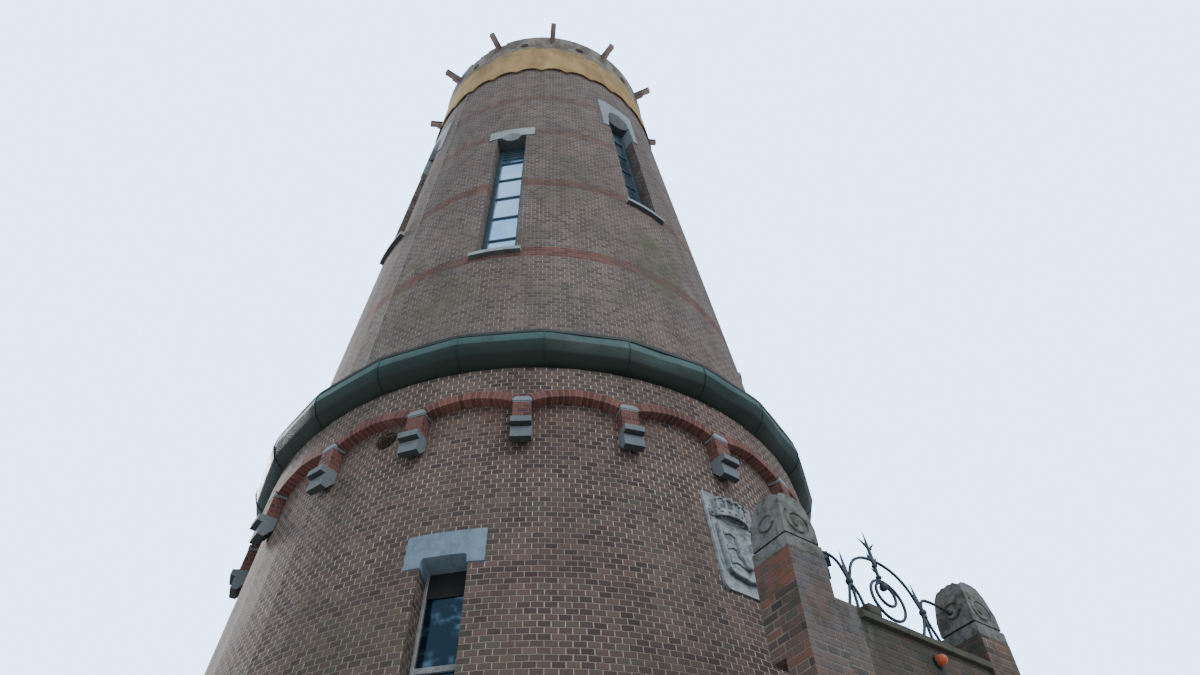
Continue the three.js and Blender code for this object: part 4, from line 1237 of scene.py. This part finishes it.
# Closed panel over the glass, ribbed on some
def topPanel(row, w):
    inner = w["half"] - w["frame"] + 0.003
    foot, top = w["glass"] + 0.02, w["soffit"] + 0.006
    pieces = [block("panel", (-inner, frameFront + 0.014, foot), (inner, frameBack - 0.014, top), 0.003)]
    for k in range(1, w["ribs"] + 1):
        z = foot + (top - foot) * k / (w["ribs"] + 1)
        low = (-inner, frameFront + 0.004, z - 0.007)
        high = (inner, frameFront + 0.02, z + 0.007)
        pieces.append(block("rib", low, high, 0.003))
    return narrow(join(f"{row}Panel", pieces), w)


def windowPane(row, w):
    inner = w["half"] - w["frame"] + 0.003
    middle = (frameFront + frameBack) / 2
    low = (-inner, middle - 0.004, 0.03)
    high = (inner, middle + 0.004, w["glass"] + 0.03)
    return narrow(block(f"{row}Glass", low, high, 0.0015), w)


def buildWindows():
    for row, w in windows.items():
        places = [onWall(angle, w["sill"]) for angle in w["angles"]]
        solids = [f"{row}_window_{i}" for i in range(1, 5)]
        made = [("HeadStone", headStone(row, w), w["stoneLook"], "stone"),
                ("Sill", sillStone(row, w), w["stoneLook"], "stone"),
                ("Frame", steelFrame(row, w), w["frameLook"], "window"),
                ("Panel", topPanel(row, w), w["panelLook"], "window"),
                ("Glass", windowPane(row, w), w["glassLook"], None)]
        for word, piece, material, slot in made:
            names = [f"{row}Window{word}{i}" for i in range(1, 5)]
            for copy, solid in zip(copies(piece, places, names), solids):
                give(copy, material, (solid,))
    print("windows built")


buildWindows()


# Ledge: a dented metal cover with soft creases, low seams at its corners, and lead along its top edge
ledge = {
    "sides": 24,
    "corner": 0.5,
    "steps": 8,            # parts of each flat side
    "profile": [(3.4, 8.593), (3.462, 8.644), (3.5, 8.688), (3.511, 8.702), (3.518, 8.72),
                (3.532, 8.77), (3.5505, 8.838), (3.553, 8.846), (3.5515, 8.854), (3.545, 8.9),
                (3.538, 8.948), (3.534, 8.964), (3.526, 8.978), (3.51, 8.986), (3.4, 9.016), (3.24, 9.05)],
    "outer": 14,           # points of the profile that the seams follow
    "inside": [(3.208, 9.05), (3.25, 8.7), (3.2525, 8.593)],
    "seamOut": 0.004,
    "seamIn": 0.02,
    "seamHalf": 0.0035,
    "limit": 3.553,        # nothing stands out past this radius
    "innerRadius": 3.3,    # the cover stays round within it
    "flatness": 0.9,       # share of the way from a circle to flat sides
    "folds": 46,
    "foldZone": (8.66, 8.99),
    "lead": [(3.478, 8.985), (3.53, 8.985), (3.534, 9.0), (3.526, 9.016), (3.48, 9.02)],
    "leadTurns": 180,
    "leadFoot": 8.99,
    "leadRise": 0.018,
    "leadWave": 0.026,
    "leadRough": 0.004,
}


# Outline of radius and height turned right round the tower's axis
def turnRound(name, profile, steps):
    clearSelection()
    bpy.ops.mesh.primitive_circle_add(vertices=len(profile), radius=1, fill_type="NOTHING")
    obj = bpy.context.object
    obj.name = name
    for v, (r, z) in zip(obj.data.vertices, profile):
        v.co = (r, 0, z)
    editMesh(obj, "EDGE")
    bpy.ops.mesh.select_all(action="SELECT")
    bpy.ops.mesh.spin(steps=steps, angle=2 * math.pi, center=(0, 0, 0), axis=(0, 0, 1))
    bpy.ops.mesh.select_all(action="SELECT")
    bpy.ops.mesh.remove_doubles(threshold=1e-4)
    return leaveEdit(obj)


def angleOf(co):
    return math.degrees(math.atan2(co.x, -co.y))


def buildLedge():
    look = ledge
    side = 360 / look["sides"]
    cover = turnRound("ledgeCover", look["profile"] + look["inside"], look["sides"] * look["steps"])
    low, high = look["foldZone"]
    # Each fold: where it is, how wide in degrees and how deep
    folds = [(random.uniform(0, 360), random.uniform(2, 5), random.uniform(-0.012, 0.014))
             for i in range(look["folds"])]
    for v in cover.data.vertices:
        radius = math.hypot(v.co.x, v.co.y)
        if radius < look["innerRadius"]:
            continue
        angle = angleOf(v.co)
        off = (angle - look["corner"]) % side - side / 2
        flat = math.cos(math.radians(side / 2)) / math.cos(math.radians(off))
        push = radius * (flat - 1) * look["flatness"]
        if low < v.co.z < high:
            for centre, wide, deep in folds:
                gap = abs((angle - centre + 180) % 360 - 180)
                push += deep * math.exp(-(gap / wide) ** 2) * (0.5 + 0.5 * math.sin(9 * v.co.z + centre))
        new = min(radius + push, look["limit"])
        v.co.x *= new / radius
        v.co.y *= new / radius
    give(smooth(cover, 50), "ledgeMetal", ("ledge",))
    outer = []
    profile = look["profile"][:look["outer"]]
    for i, (r, z) in enumerate(profile):
        before = profile[max(0, i - 1)]
        after = profile[min(len(profile) - 1, i + 1)]
        way = Vector((after[0] - before[0], after[1] - before[1])).normalized()
        outer.append((r + way.y * look["seamOut"], z - way.x * look["seamOut"]))
    inner = [(r - look["seamIn"], z) for r, z in profile]
    seam = plate("seam", outer + inner[::-1], -look["seamHalf"], look["seamHalf"], 0.001)
    # The plate stands in x and z: x becomes the distance from the axis, towards -Y
    out = Matrix(((0, 1, 0, 0), (-1, 0, 0, 0), (0, 0, 1, 0), (0, 0, 0, 1)))
    corners = range(look["sides"])
    places = [Matrix.Rotation(math.radians(look["corner"] + i * side), 4, "Z") @ out for i in corners]
    seams = join("ledgeSeams", copies(seam, places, [f"seam{i}" for i in corners]))
    give(seams, "ledgeMetal")
    # Lead dressed over the top edge, torn and uneven
    lead = turnRound("ledgeLead", look["lead"], look["leadTurns"])
    waves = [(random.randint(2, 40), random.uniform(0, 6.28)) for i in range(14)]
    for v in lead.data.vertices:
        angle = math.radians(angleOf(v.co))
        rough = sum(math.sin(n * angle + start) / math.sqrt(n) for n, start in waves) / 3.2
        off = (math.degrees(angle) - look["corner"]) % side - side / 2
        flat = 1 + look["flatness"] * (math.cos(math.radians(side / 2)) / math.cos(math.radians(off)) - 1)
        v.co.x *= flat
        v.co.y *= flat
        if v.co.z > look["leadFoot"]:
            jitter = random.uniform(-look["leadRough"], look["leadRough"])
            v.co.z += look["leadRise"] + look["leadWave"] * rough + jitter
    give(lead, "lead")
    print("ledge dressed")


buildLedge()

# Stone caps on the porch's piers, in a frame from the middle of the pier's top
pierCaps = {
    "places": {"left": (-1.0, 5.29), "right": (0.97, 5.235)},
    "outward": -4.855,     # along the porch's own y
    "slabHalf": 0.175,
    "half": 0.163,
    "topHalf": 0.125,
    "spring": 0.41,
    "crown": 0.53,
    "fullness": 3.1,       # 2 gives a round arch, more gives fuller shoulders
    "groove": 0.0145,
    "slabTop": 0.108,
    "neck": (0.1, 0.15),
    "neckIn": 0.02,
    "vaultFoot": 0.13,
    "taperFrom": 0.25,     # above this height the stone gets narrower
    "wear": 0.0055,
    # Carved lines: radius at the start and end, turns, and height of the middle
    "volute": (0.122, 0.044, 1.35, 0.27),
    "openRing": (0.08, 0.056, 0.85, 0.29),
}


def vaultPiece(name, half):
    look = pierCaps
    spring, fullness = look["spring"], look["fullness"]
    rise = look["crown"] - spring
    columns = columnsBetween(half - 0.0004, 16)

    def top(x):
        if abs(x) >= half:
            return spring - 0.03
        return spring + rise * max(0.0, 1 - abs(x / half) ** fullness) ** (1 / fullness)

    return strip(name, [-half, *columns, half], lambda x: look["vaultFoot"], top, -half, half)


def spiral(name, centre, start, end, turns, y, hand, thick):
    count = int(14 * turns) + 1
    points = []
    for i in range(count):
        share = i / (count - 1)
        angle = hand * 2 * math.pi * turns * share + math.pi * 0.75
        radius = start + (end - start) * share
        points.append((centre[0] + radius * math.cos(angle), y, centre[1] + radius * math.sin(angle)))
    return rod(name, points, thick, fine=1, corners=2)


def buildCap(side):
    look = pierCaps
    half, slabHalf = look["half"], look["slabHalf"]
    neckHalf = half - look["neckIn"]
    low, high = look["neck"]
    slab = block("slab", (-slabHalf, -slabHalf, 0.0005), (slabHalf, slabHalf, look["slabTop"]), 0.007)
    neck = block("neck", (-neckHalf, -neckHalf, low), (neckHalf, neckHalf, high))
    along = vaultPiece("vaultAlong", half)
    across = vaultPiece("vaultAcross", half)
    across.data.transform(Matrix.Rotation(math.pi / 2, 4, "Z"))
    combine(along, across, "UNION")
    tall = look["crown"] - look["taperFrom"]
    for v in along.data.vertices:
        share = max(0.0, (v.co.z - look["taperFrom"]) / tall)
        shrink = 1 - share * (1 - look["topHalf"] / half)
        v.co.x *= shrink
        v.co.y *= shrink
    # Worn along the top
    for v in along.data.vertices:
        if v.co.z > look["spring"]:
            v.co.z -= look["wear"] * (1 + math.sin(140 * v.co.x + 0.7) * math.cos(110 * v.co.y - 1.1))
    # Carved lines: a volute on the broad faces, a small open ring on the others
    tilt = math.atan((half - look["topHalf"]) / tall) * 0.5
    for turn, word in ((0, "volute"), (2, "volute"), (1, "openRing"), (3, "openRing")):
        start, end, turns, height = look[word]
        cutter = spiral("volute", (0, 0), start, end, turns, 0, -1 if turn % 2 else 1, look["groove"])
        if turn % 2:
            cutter.data.transform(Matrix.Rotation(math.pi * 0.85, 4, "Y"))
        face = Matrix.Translation((0, -half + 0.0045, height)) @ Matrix.Rotation(-tilt, 4, "X")
        cutter.data.transform(Matrix.Rotation(turn * math.pi / 2, 4, "Z") @ face)
        cutAway(along, cutter)
    cap = join(f"cap{side.capitalize()}", [along, slab, neck])
    x, top = look["places"][side]
    cap.data.transform(porchFrame @ Matrix.Translation((x, look["outward"], top)))
    smooth(cap, 28)
    give(cap, "capStone", (f"pier_cap_{side}",))


for side in ("left", "right"):
    buildCap(side)
print("caps carved")

# Wrought-iron cresting: x and z from its own middle on the coping
cresting = {
    "shift": -0.038,
    "back": -4.905,
    "foot": 5.0805,
    "lean": 3.2,
    "rod": 0.0122,
    "arch": [(0.393, 0.262), (0.363, 0.325), (0.32, 0.42), (0.265, 0.492), (0.19, 0.545),
             (0.115, 0.574), (0, 0.586)],
    "rightScroll": [(0.393, 0.262), (0.412, 0.34), (0.455, 0.388), (0.51, 0.4), (0.6, 0.402),
                    (0.69, 0.396), (0.765, 0.39)],
    "leftScroll": [(-0.393, 0.262), (-0.41, 0.31), (-0.432, 0.362), (-0.465, 0.412), (-0.53, 0.442),
                   (-0.66, 0.43), (-0.797, 0.395)],
    "feet": [[(-0.393, 0.262), (-0.451, 0.098), (-0.488, 0.002)],
             [(-0.393, 0.262), (-0.381, 0.173), (-0.392, 0.002)],
             [(-0.393, 0.262), (-0.337, 0.179), (-0.314, 0.087), (-0.29, 0.002)],
             [(0.393, 0.262), (0.351, 0.141), (0.295, 0.031), (0.285, 0.002)],
             [(0.393, 0.262), (0.385, 0.11), (0.388, 0.002)],
             [(0.393, 0.262), (0.427, 0.149), (0.473, 0.045), (0.49, 0.002)]],
    "leaves": [[(-0.393, 0.262), (-0.395, 0.35), (-0.397, 0.45), (-0.398, 0.545)],
               [(0.388, 0.262), (0.382, 0.345), (0.374, 0.43), (0.366, 0.525)],
               [(-0.013, 0.56), (-0.013, 0.6), (-0.013, 0.65), (-0.013, 0.72)]],
    "stem": [(-0.014, 0.385), (-0.014, 0.5), (-0.013, 0.6), (-0.013, 0.75), (-0.013, 0.88)],
    "twigs": [[(-0.015, 0.7), (-0.06, 0.742), (-0.115, 0.773)],
              [(0.002, 0.694), (0.04, 0.744), (0.085, 0.785)],
              [(-0.015, 0.472), (-0.045, 0.486), (-0.07, 0.498)],
              [(-0.012, 0.56), (0.022, 0.6), (0.04, 0.65)], [(-0.014, 0.56), (-0.05, 0.61), (-0.058, 0.65)]],
    "balls": [(0.768, 0.39, 0.026), (0.003, 0.35, 0.033), (-0.393, 0.26, 0.03), (0.393, 0.26, 0.03)],
    "leafThin": 0.45,
    # Hoops: middle, radius, start and sweep in degrees; collars: middle and how tall
    "hoops": [(0.002, 0.232, 0.169, 90, 356), (0.0, 0.284, 0.098, 92, 330)],
    "hoopPoints": 20,
    "collars": [(-0.393, 0.222, 0.03), (0.393, 0.222, 0.03), (-0.014, 0.43, 0.024), (-0.014, 0.535, 0.02)],
}


def up(pairs):
    return [(x, 0, z) for x, z in pairs]


def buildCresting():
    look = cresting
    thick = look["rod"]
    pieces = []
    half = look["arch"]
    pieces.append(rod("arch", up([(-x, z) for x, z in half] + half[-2::-1]), thick))
    for word in ("rightScroll", "leftScroll"):
        pieces.append(rod(word, up(look[word]), thick, [1, 1, 1, 1, 0.95, 0.9, 0.85]))
    for foot in look["feet"]:
        pieces.append(rod("foot", up(foot), thick * 0.95))
    for leaf in look["leaves"]:
        blade = rod("leaf", up(leaf), thick, [0.9, 1.8, 1.2, 0.08])
        for v in blade.data.vertices:
            v.co.y *= look["leafThin"]
        pieces.append(blade)
    pieces.append(rod("stem", up(look["stem"]), thick, [1.0, 1.1, 1.3, 0.9, 0.12]))
    for twig in look["twigs"]:
        pieces.append(rod("twig", up(twig), thick * 0.85, [1.1, 0.9, 0.12]))
    # Hoops one inside the other, opened where the inner one turns into a scroll
    count = look["hoopPoints"]
    for x, z, radius, start, sweep in look["hoops"]:
        turn = [math.radians(start + sweep * i / count) for i in range(count + 1)]
        hoop = [(x + radius * math.cos(a), z + radius * math.sin(a)) for a in turn]
        pieces.append(rod("hoop", up(hoop), thick))
    for x, z, radius in look["balls"]:
        pieces.append(ball("ball", (x, 0, z), radius))
    # Collars that tie the bars together
    for x, z, tall in look["collars"]:
        pieces.append(cylinder("collar", 14, 0.022, tall, (x, 0, z), 0.005))
    work = join("crestingIron", [smooth(piece, 50) for piece in pieces])
    work.data.transform(porchFrame @ Matrix.Translation((look["shift"], look["back"], look["foot"]))
                        @ Matrix.Rotation(math.radians(-look["lean"]), 4, "X"))
    give(work, "iron", ("cresting",))
    print("cresting forged")


buildCresting()

# Round lamp on the porch's front wall: a dark base and an orange dome
wallLamp = {
    "x": 0.16,
    "z": 4.83,
    "front": -5.0,
    "base": 0.05,
    "baseDeep": 0.022,
    "dome": 0.04,
    "domeFoot": 0.02,
    "out": 0.082,
    "ribs": (0.034, 0.048, 0.062),
    "ribThick": 0.0016,
}


def buildLamp():
    look = wallLamp
    place = porchFrame @ Matrix.Translation((look["x"], look["front"] - 0.0006, look["z"]))
    place = place @ Matrix.Rotation(math.pi / 2, 4, "X")
    base = cylinder("lampBase", 40, look["base"], look["baseDeep"], (0, 0, look["baseDeep"] / 2), 0.004, 3)
    foot = look["domeFoot"]
    tall = look["out"] - foot
    dome = ball("lampDome", (0, 0, foot), look["dome"], (1, 1, tall / look["dome"]), 32)
    editMesh(dome)
    bpy.ops.mesh.select_all(action="SELECT")
    bpy.ops.mesh.bisect(plane_co=(0, 0, foot + 0.001), plane_no=(0, 0, 1), clear_inner=True, use_fill=True)
    leaveEdit(dome)
    # Ribs of the dome, like the cage of a signal lamp
    for height in look["ribs"]:
        reach = look["dome"] * math.sqrt(max(0.0, 1 - ((height - foot) / tall) ** 2))
        ring = [(reach * x, reach * y, height) for x, y in circle(24)]
        rib = rod("rib", ring, look["ribThick"], closed=True, fine=1, corners=2)
        dome = join("lampDome", [dome, rib])
    for piece, material in ((base, "lampBase"), (dome, "lamp")):
        piece.data.transform(place)
        smooth(piece, 40)
        give(piece, material, ("wall_lamp",))
    print("lamp fitted")


buildLamp()

# Outline in y and z pushed along x
def alongX(name, outline, x0, x1, edge=0.0):
    obj = plate(name, outline, x0, x1)
    for v in obj.data.vertices:
        v.co = (v.co.y, v.co.x, v.co.z)
    editMesh(obj)
    leaveEdit(obj)
    return roundEdges(obj, edge) if edge else obj


# Moves every corner a little, after cutting each face up if asked
def roughen(obj, amount, cuts=0):
    if cuts:
        editMesh(obj)
        bpy.ops.mesh.select_all(action="SELECT")
        bpy.ops.mesh.subdivide(number_cuts=cuts)
        leaveEdit(obj)
    for v in obj.data.vertices:
        v.co += Vector([random.uniform(-amount, amount) for axis in range(3)])
    return obj


# Carved slab: a crown over a shield with wavy bars, x and z from the middle of the slab's foot
relief = {
    "foot": 6.08,
    "half": 0.305,
    "tall": 1.175,
    "chamfer": 0.05,
    "out": 0.04,
    "setBack": 0.028,      # the slab stands nearly flush with the brick
    "shield": [(0.0, 0.135), (0.06, 0.15), (0.14, 0.165), (0.2, 0.192), (0.226, 0.235),
               (0.23, 0.4), (0.23, 0.78), (0.12, 0.765), (0.0, 0.775)],
    "bars": [0.66, 0.49, 0.32],
    "boss": {"centre": 0.475, "across": 0.092, "tall": 0.222},
    "band": {"half": 0.2, "low": 0.872, "high": 0.962, "bulge": 0.085},
    "leaves": [-0.165, -0.085, 0.0, 0.085, 0.165],
    "slabBack": 0.039,
    "shieldFront": (-0.082, -0.02),
    "barHalf": 0.03,
    "barWave": (0.016, 38),
    "barFront": (-0.088, -0.06),
    "bossFront": (-0.122, -0.06),
    "crownFront": (-0.032, -0.02),
}


def insetFront(obj, thickness, depth):
    mesh = editMesh(obj)
    for face in mesh.faces:
        face.select_set(face.normal.y < -0.99 and len(face.verts) > 4)
    bmesh.update_edit_mesh(obj.data)
    bpy.ops.mesh.inset(thickness=thickness, depth=depth)
    return leaveEdit(obj)


def buildRelief():
    look = relief
    half, tall, chamfer, out = look["half"], look["tall"], look["chamfer"], look["out"]
    outline = [(-half + chamfer, 0), (half - chamfer, 0), (half, chamfer), (half, tall),
               (-half, tall), (-half, chamfer)]
    slab = plate("slab", outline, -out, look["slabBack"], 0.006)
    insetFront(slab, 0.032, -0.012)
    right = look["shield"]
    shield = plate("shield", right + [(-x, z) for x, z in right[-2:0:-1]], *look["shieldFront"], 0.012)
    insetFront(shield, 0.02, -0.011)
    pieces = [slab, shield]
    columns = columnsBetween(0.196, 24)
    barHalf = look["barHalf"]
    wave, often = look["barWave"]
    for centre in look["bars"]:
        bar = strip("bar", columns, lambda x: centre - barHalf + wave * math.sin(x * often),
                    lambda x: centre + barHalf + wave * math.sin(x * often), *look["barFront"])
        pieces.append(roundEdges(bar, 0.007))
    boss = look["boss"]
    outline = [(boss["across"] * x, boss["centre"] + boss["tall"] * z) for x, z in circle(28)]
    oval = plate("oval", outline, *look["bossFront"], 0.02)
    insetFront(oval, 0.018, -0.012)
    pieces.append(oval)
    band = look["band"]

    def bulge(x):
        return band["bulge"] * math.sqrt(max(0.0, 1 - (x / (band["half"] + 0.01)) ** 2))

    columns = columnsBetween(band["half"], 20)
    crown = strip("crownBand", columns, lambda x: band["low"], lambda x: band["high"], *look["crownFront"])
    for v in crown.data.vertices:
        if v.co.y < -0.03:
            v.co.y -= bulge(v.co.x)
    cutAway(roundEdges(crown, 0.007), ball("hollow", (0, -0.062, band["low"]), 1, (0.15, 0.04, 0.05), 20))
    pieces.append(crown)
    for x in look["leaves"]:
        y = -0.03 - bulge(x) * 0.8
        line = [(x, y, 0.95), (x * 1.06, y - 0.006, 1.0), (x * 1.14, y - 0.012, 1.045)]
        pieces.append(rod("leaf", line, 0.016, [1.3, 1.0, 0.7]))
        pieces.append(ball("leafBall", (x * 1.16, y - 0.012, 1.062), 0.023, sides=14))
        line = [(x * 1.16, y - 0.01, 1.06), (x * 0.9, y - 0.012, 1.1), (x * 0.2, -0.08, 1.118)]
        pieces.append(rod("arch", line, 0.011))
        pieces.append(ball("stud", (x * 0.92, -0.034 - bulge(x * 0.92), 0.917), 0.015, sides=10))
    pieces.append(ball("topBall", (0, -0.085, 1.125), 0.027, sides=14))
    for side in (-1, 1):
        pieces.append(spiral("scroll", (side * 0.243, 0.905), 0.042, 0.014, 1.25, -0.036, side, 0.011))
        line = [(side * 0.266, -0.034, z) for z in (0.86, 0.62, 0.4)] + [(side * 0.25, -0.034, 0.2)]
        pieces.append(rod("tendril", line, 0.009, [0.6, 1.2, 1.0, 0.3]))
    carving = join("reliefCarving", [smooth(piece, 40) for piece in pieces])
    for v in carving.data.vertices:
        if v.co.y < 0:
            v.co.y += look["setBack"]
    carving.data.transform(onWall(tower["doorAxis"], look["foot"]))
    give(carving, "reliefStone", ("relief_slab",))
    print("relief carved")


buildRelief()

# Coping in three worn stones, with one rough lump left on it
coping = {
    "ends": [-0.569, -0.118, 0.338, 0.794],
    "outline": [(-5.037, 4.941), (-4.761, 4.941), (-4.761, 5.004), (-4.868, 5.077),
                (-4.93, 5.077), (-5.037, 4.992)],
    "lump": ((-0.485, -5.032, 5.0), (-0.345, -4.935, 5.085)),
}


def buildCoping():
    pieces = []
    for x0, x1 in zip(coping["ends"], coping["ends"][1:]):
        stone = alongX("copingPiece", coping["outline"], x0 + 0.002, x1 - 0.002)
        pieces.append(roundEdges(roughen(stone, 0.0018, 3), 0.004, 2, 50))
    lump = block("lump", *coping["lump"])
    pieces.append(roughen(roundEdges(lump, 0.022, 3), 0.003))
    stones = join("copingStones", pieces)
    stones.data.transform(porchFrame)
    give(smooth(stones, 45), "copingStone", ("parapet_coping",))
    print("coping laid")


buildCoping()

# Door of the porch: upright boards, strap hinges, a plate and a ring handle
porchDoor = {"half": 0.479, "foot": 0.201, "spring": 2.15, "rise": 0.159, "front": -4.91,
             "back": -4.866, "boards": 6, "gap": 0.0012, "straps": (0.55, 1.95), "strapOut": 0.007,
             "strapEnds": (-0.47, 0.28, 0.36), "strapHalf": (0.025, 0.018), "bolts": (-0.42, 0.13, 6),
             "lock": (0.375, 0.435, 1.14, 1.36), "ring": (0.405, 1.25, 0.045)}


def boardTop(x):
    return archHeight(porchDoor["half"], porchDoor["spring"], porchDoor["rise"], x) - 0.001


def buildDoor():
    look = porchDoor
    wide = 2 * look["half"] / look["boards"]
    boards = []
    for k in range(look["boards"]):
        x0 = -look["half"] + k * wide + look["gap"]
        x1 = -look["half"] + (k + 1) * wide - look["gap"]
        columns = [x0 + (x1 - x0) * i / 3 for i in range(4)]
        board = strip("board", columns, lambda x: look["foot"], boardTop, look["front"], look["back"])
        boards.append(roundEdges(board, 0.004))
    leaf = join("doorBoards", boards)
    ironWork = []
    front = look["front"]
    left, neck, tip = look["strapEnds"]
    broad, slim = look["strapHalf"]
    first, apart, count = look["bolts"]
    for z in look["straps"]:
        outline = [(left, z - broad), (neck, z - slim), (tip, z), (neck, z + slim), (left, z + broad)]
        ironWork.append(plate("strap", outline, front - look["strapOut"], front + 0.001, 0.002))
        for i in range(count):
            centre = (first + i * apart, front - look["strapOut"], z)
            ironWork.append(ball("bolt", centre, 0.011, (1, 0.7, 1), 10))
    x0, x1, z0, z1 = look["lock"]
    ironWork.append(block("lockPlate", (x0, front - 0.006, z0), (x1, front + 0.001, z1), 0.002))
    x, z, radius = look["ring"]
    ring = [(x + radius * a, front - 0.022, z + radius * b) for a, b in circle(14)]
    ironWork.append(rod("ring", ring, 0.007, closed=True))
    ironWork.append(ball("ringPost", (x, front - 0.014, z + radius), 0.014, sides=12))
    iron = join("doorIron", ironWork)
    for piece in (leaf, iron):
        piece.data.transform(porchFrame)
    give(smooth(leaf, 30), "door", ("porch_door",))
    give(smooth(iron, 40), "iron", ("porch_door",))
    print("door hung")


buildDoor()

# Standing seams on the porch's roof
roofSeams = {"left": -1.21, "right": 1.18, "count": 7, "inward": 0.01, "front": -4.775, "back": -3.72,
             "top": 4.2905, "tall": 0.028, "half": 0.009}


def buildRoofSeams():
    look = roofSeams
    step = (look["right"] - look["left"]) / (look["count"] - 1)
    pieces = []
    places = [look["left"] + i * step for i in range(look["count"])]
    places[0] += look["inward"]
    places[-1] -= look["inward"]
    for x in places:
        pieces.append(block("roofSeam", (x - look["half"], look["front"], look["top"]),
                            (x + look["half"], look["back"], look["top"] + look["tall"]), 0.003))
    seams = join("roofSeams", pieces)
    seams.data.transform(porchFrame)
    give(seams, "zinc")
    print("roof seams folded")


buildRoofSeams()

# Lightning conductor: a round rod on clips
conductor = {"angle": -40.5, "low": 9.1, "length": 8.78, "parts": 9, "stand": 0.035, "radius": 0.0075,
             "first": 0.3, "apart": 1.2, "clampRadius": 0.014, "clampTall": 0.024}


def buildConductor():
    look = conductor
    count = look["parts"]
    points = [(0, -look["stand"], look["length"] * i / count) for i in range(count + 1)]
    pieces = [smooth(rod("line", points, look["radius"], fine=2, corners=1), 60)]
    height = look["first"]
    while height < look["length"]:
        pieces.append(block("clip", (-0.005, -look["stand"], height - 0.01),
                            (0.005, 0.0, height + 0.01), 0.002))
        centre = (0, -look["stand"], height)
        pieces.append(cylinder("clamp", 14, look["clampRadius"], look["clampTall"], centre, 0.003))
        height += look["apart"]
    line = join("conductorLine", pieces)
    line.data.transform(onWall(look["angle"], look["low"]))
    give(line, "conductorMetal", ("conductor",))
    print("conductor fixed")


buildConductor()
